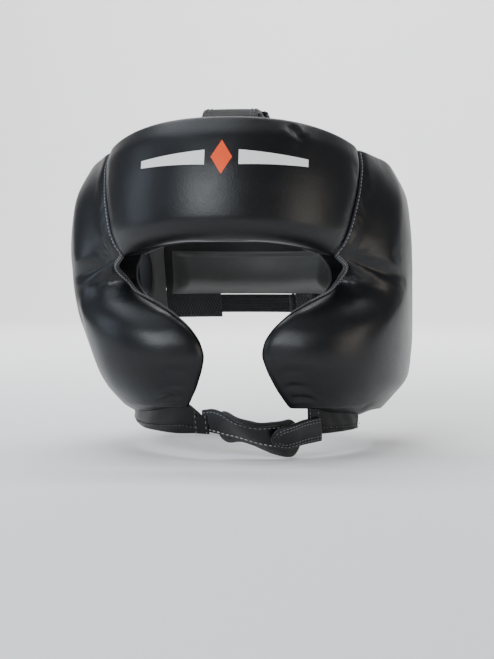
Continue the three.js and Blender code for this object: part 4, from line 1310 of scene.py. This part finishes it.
crown_leather = leather_finish("crown_leather", (0.0042, 0.0048, 0.0062), 0.55, specular=0.2)
crown_across = np.tile([-1.0, 0.0, 0.0], (len(crown_line), 1))
crown_front_run = ribbon_run(crown_line, crown_across, strap_thick / 2, 0, 0, 0.68)
crown_loop_run = ribbon_run(crown_line, crown_across, strap_thick + gap + patch_thick / 2, 0, 0.46, 0.67)
crown_hook_run = ribbon_run(crown_line, crown_across, strap_thick + 2 * gap + patch_thick * 1.5, 0, 0.47, 0.65)
crown_rear_run = ribbon_run(crown_line, crown_across, crown_rear_lift + strap_thick / 2, 0, 0.45, 0.992)
crown_front = strap("crown_front", *crown_front_run, crown_wide, 2.3, crown_leather, cells=120, arch=0.3, wave=0.15)
crown_loop = strap("crown_loop", *crown_loop_run, crown_wide - 6, 1.1, loop_pile, 2, 2, 60)
crown_hook = strap("crown_hook", *crown_hook_run, crown_wide - 6, 1.1, loop_pile, 2, 2, 60)
crown_rear = strap("crown_rear", *crown_rear_run, crown_wide, 2.3, crown_leather, 6, 0, 120, 0.3)
fit(crown_front, "shell", "crown_strap_front")
fit(crown_loop, "shell", "crown_loop_patch")
fit(crown_hook, "crown_strap", "crown_hook_patch")
fit(crown_rear, "crown_strap", "crown_strap_rear")

front_rows = [beside(*crown_front_run, s, 1.35, 0.03, 0.66, 160) for s in (-15.6, -13.2, 13.2, 15.6)]
rear_rows = [beside(*crown_rear_run, s, 1.35, 0.03, 0.97, 200) for s in (-15.6, -13.2, 13.2, 15.6)]
stitches("crown_front_stitches", front_rows, "shell", black_thread, 3.4, 2.7, 0.75, 11)
stitches("crown_rear_stitches", rear_rows, "crown_strap", black_thread, 3.4, 2.7, 0.75, 12)

# the sewn root of the rear half, flat on the rear pad
anchor_heights = np.linspace(rear_high - 4, rear_high - 26, 40)
anchor_out = rear_thick * 0.962 + gap + strap_thick / 2
anchor_line = upright(on_last(np.full(40, 180.0), anchor_heights, anchor_out))
anchor_across = np.tile([-1.0, 0.0, 0.0], (40, 1))
anchor_up = np.tile([0.0, 1.0, 0.0], (40, 1))
anchor = strap("crown_anchor", anchor_line, anchor_across, anchor_up, crown_wide, 2.3, crown_leather, 0, 3, 40, 0.2)
fit(anchor, "shell", "crown_strap_anchor")
anchor_box = [beside(anchor_line, anchor_across, anchor_up, s, 1.3, 0.1, 0.88, 30) for s in (-14, 14)]
for turn in (0.12, 0.86):
    a = beside(anchor_line, anchor_across, anchor_up, -14, 1.3, turn, turn + 0.001, 2)[0]
    b = beside(anchor_line, anchor_across, anchor_up, 14, 1.3, turn, turn + 0.001, 2)[0]
    anchor_box.append(np.linspace(a, b, 30))
stitches("anchor_stitches", anchor_box, "shell", black_thread, 3.2, 2.6, 0.75, 13)

# ---------------------------------------------------------------- jaw flaps
# A thin leather flap hangs under each side pad to carry the chin straps. Its free edge is turned and sewn, and its
# rear end is sewn across with black thread.
flap_thick, flap_lift, flap_low = 3.0, 1.5, 18.0
flap_bottom = curve_through([(14, flap_low + 2), (30, flap_low), (60, flap_low), (88, flap_low + 4)], 0.04)


def jaw_flap(side, front, rear, flip, seed):
    def edges(degrees):
        under = (degrees - 26) / 88
        front_top = cheek_chin_height + 2 - 10 * np.clip(-under / 0.114, 0, 1) ** 1.3
        top = np.where(under < 0, front_top, lower_edge(np.maximum(under, 0)) + 4)
        return flap_bottom(degrees), top

    def place(u, v, w):
        if flip:
            u = 1 - u
        degrees = mixed(front, rear, u)
        low, top = edges(degrees)
        height = mixed(low, top, v)
        sag = 0.5 * np.sin(u * 9 + seed) * np.sin(np.pi * v) + 0.3 * np.sin(u * 23 + v * 5 + seed)
        rim = np.minimum(np.minimum(u, 1 - u) * 30, np.minimum(v * 9, 1.0))
        thick = flap_thick * (0.55 + 0.45 * np.clip(rim, 0, 1) ** 0.5)
        groove = np.exp(-(((v - 0.24) / 0.05) ** 2))
        out = flap_lift + flap_thick / 2 + (w - 0.5) * (thick - 0.5 * groove) + sag * 0.6
        return on_last(degrees, height, out, flip)

    flap, _ = closed_shell("jaw_flap_leather_" + side, (90, 22, 2), place, flap_leather)
    refine(flap)
    fit(flap, "shell", "jaw_flap_" + side)

    def row(v, start=front, end=rear, lift=3.25, count=90):
        degrees = np.linspace(start, end, count)
        low, top = edges(degrees)
        return on_last(degrees, mixed(low, top, v), flap_lift + lift, flip)

    def upright_row(degrees, low_v, high_v, lift=3.2):
        low, top = edges(np.full(20, float(degrees)))
        heights = mixed(low, top, np.linspace(low_v, high_v, 20))
        return on_last(np.full(20, degrees), heights, flap_lift + lift, flip)

    return row, upright_row


def flap_band(side, front, flip, wide, ahead):
    """The turned front edge of a flap: a stitched strip of leather up its edge."""
    degrees = np.full(50, float(front)) + (wide / 2 - ahead) / along_last(front, 25.0)
    share = np.linspace(0, 1, 50)
    under = (degrees - 26) / 88
    front_top = cheek_chin_height + 2 - 10 * np.clip(-under / 0.114, 0, 1) ** 1.3
    top = np.where(under < 0, front_top, lower_edge(np.maximum(under, 0)) + 1)
    heights = mixed(flap_bottom(degrees) - 0.3, top, share)
    line = upright(on_last(degrees, heights, flap_lift + flap_thick + 0.5, flip))
    outer = upright(on_last(degrees, heights, flap_lift + flap_thick + 1.5, flip))
    out = outer - line
    tangent = np.gradient(line, axis=0)
    across = np.cross(out, tangent)
    across /= np.linalg.norm(across, axis=1, keepdims=True)
    band = strap("flap_band_" + side, line, across, out, wide, 1.3, flap_leather, 0, 0, 40, 0.25)
    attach(band, "shell")
    rows = [beside(line, across, out, off, 0.95, 0.04, 0.96, 50) for off in (wide / 2 - 1.4, 1.4 - wide / 2)]
    stitches("flap_band_stitches_" + side, rows, "shell", grey_thread, 2.7, 1.9, 0.5, 41)


flap_band("left", 33.0, False, 9.0, 3.5)
flap_band("right", 16.0, True, 10.0, 4.2)
flap_left_row, flap_left_end = jaw_flap("left", 33.0, 64.0, False, 0.3)
flap_right_row, flap_right_end = jaw_flap("right", 16.0, 88.0, True, 1.9)
flap_sewing = [flap_left_row(0.24), flap_left_end(35.0, 0.08, 0.9), flap_left_end(62.5, 0.08, 0.9)]
flap_sewing += [flap_right_row(0.24)] + [flap_right_end(degrees, 0.1, 0.9) for degrees in (17.8, 19.4, 86)]
stitches("flap_stitches", flap_sewing, "shell", black_thread, 3.0, 2.3, 0.6, 21)

# ---------------------------------------------------------------- chin strap
# The leather chin strap runs from the right flap across under the chin, on a wide soft loop tape; a short tab
# from the left flap closes over it. The layers twist as they lie.
chin_gap, chin_up, tab_thick = 0.6, 3.5, 2.0
chin_strap_lift = patch_thick + chin_gap
chin_hook_lift = chin_strap_lift + tab_thick + gap
chin_tab_lift = chin_hook_lift + patch_thick + gap
root_angle = 16 - 0.8 / along_last(16, flap_low)
root_right = upright(on_last(root_angle, 24.5, flap_lift + 0.5 - chin_strap_lift)) * (-1, 1, 1)
root_left = upright(on_last(36.0, 18.5, flap_lift + flap_thick + 0.8 - chin_tab_lift))
under_chin = [(-12, -94.5, 25), (0, -100, 23.5), (14, -100, 19.5), (26, -94.5, 17), (35.5, -84.5, 17.5)]
chin_line = smooth_line([root_right, *under_chin, root_left])
chin_tilt = curve_through([(0, 5), (0.1, 14), (0.3, 50), (0.45, 46), (0.65, 24), (0.85, 8), (1, 7)], 0.03)
tilt_now = np.radians(chin_tilt(np.linspace(0, 1, len(chin_line))))
chin_across = np.stack([0 * tilt_now, -np.sin(tilt_now), np.cos(tilt_now)], -1)
tape_run = ribbon_run(chin_line, chin_across, patch_thick / 2, 0, 0.1, 0.85)
leather_run = ribbon_run(chin_line, chin_across, chin_strap_lift + tab_thick / 2, chin_up, 0, 0.7)
hook_run = ribbon_run(chin_line, chin_across, chin_hook_lift + patch_thick / 2, chin_up + 0.5, 0.6, 0.7)
left_run = ribbon_run(chin_line, chin_across, chin_tab_lift + tab_thick / 2, chin_up + 0.5, 0.55, 1)
lap = leather_run[0][0] - (leather_run[0][6] - leather_run[0][0]) * [[0.5], [0.25]]
leather_run = [np.concatenate([lap if k == 0 else row[[0, 0]], row]) for k, row in enumerate(leather_run)]
leather_width = np.interp(np.linspace(0, 1, len(leather_run[0])), [0, 0.12, 0.3, 1], [13.5, 16, 18, 18])
chin_tape = strap("chin_tape", *tape_run, 26.0, 1.2, loop_pile, 11, 11, 110, 0.2, 0.25)
chin_leather = strap("chin_leather", *leather_run, leather_width, 1.9, cover_leather, 0, 7, 110, 0.4, 0.1)
chin_hook = strap("chin_hook", *hook_run, 13.0, 1.1, loop_pile, 2, 2, 40)
chin_tab = strap("chin_tab_leather", *left_run, 16.0, 1.9, cover_leather, 9, 0, 90, 0.5, 0.1)
fit(chin_tape, "chin_strap", "chin_loop_tape")
fit(chin_leather, "chin_strap", "chin_strap_right")
fit(chin_hook, "chin_tab", "chin_hook_patch")
fit(chin_tab, "chin_tab", "chin_strap_left")
row_shift = leather_width[:, None] / 2 - 1.9
for name, way, thread, thick, seed in (("lower", -1, white_thread, 0.55, 31), ("upper", 1, grey_thread, 0.5, 33)):
    row = [beside(*leather_run, way * row_shift, 1.15, 0.03, 0.92, 140)]
    stitches("chin_strap_%s_stitches" % name, row, "chin_strap", thread, 3.0, 2.1, thick, seed)


def round_tip_row(run, wide, radius, inset, lift, tip_first):
    """A line of stitches up one side of a strap, round its rounded tip, and back."""
    total = np.sum(np.linalg.norm(np.diff(run[0], axis=0), axis=1))
    round_part = radius - (radius - inset) * np.sin(np.linspace(0, np.pi / 2, 20))
    gap = np.concatenate([np.linspace(total * 0.97, radius, 60), round_part])
    fall = np.clip((radius - gap) / (radius - inset), 0, 1)
    side = (wide / 2 - inset) * np.sqrt(1 - fall**2)
    gap, side = np.concatenate([gap, gap[::-1]]), np.concatenate([side, -side[::-1]])
    share = gap / total if tip_first else 1 - gap / total
    rows = share * (len(run[0]) - 1)
    at, across, out = (np.stack([np.interp(rows, np.arange(len(v)), v[:, k]) for k in range(3)], -1) for v in run)
    return leaned(at + across * side[:, None] + out * lift)


tab_rows = [round_tip_row(left_run, 16.0, 9, 1.6, 1.3, True), round_tip_row(left_run, 16.0, 9, 3.4, 1.35, True)]
stitches("chin_tab_stitches", tab_rows, "chin_tab", grey_thread, 2.6, 1.8, 0.45, 32)
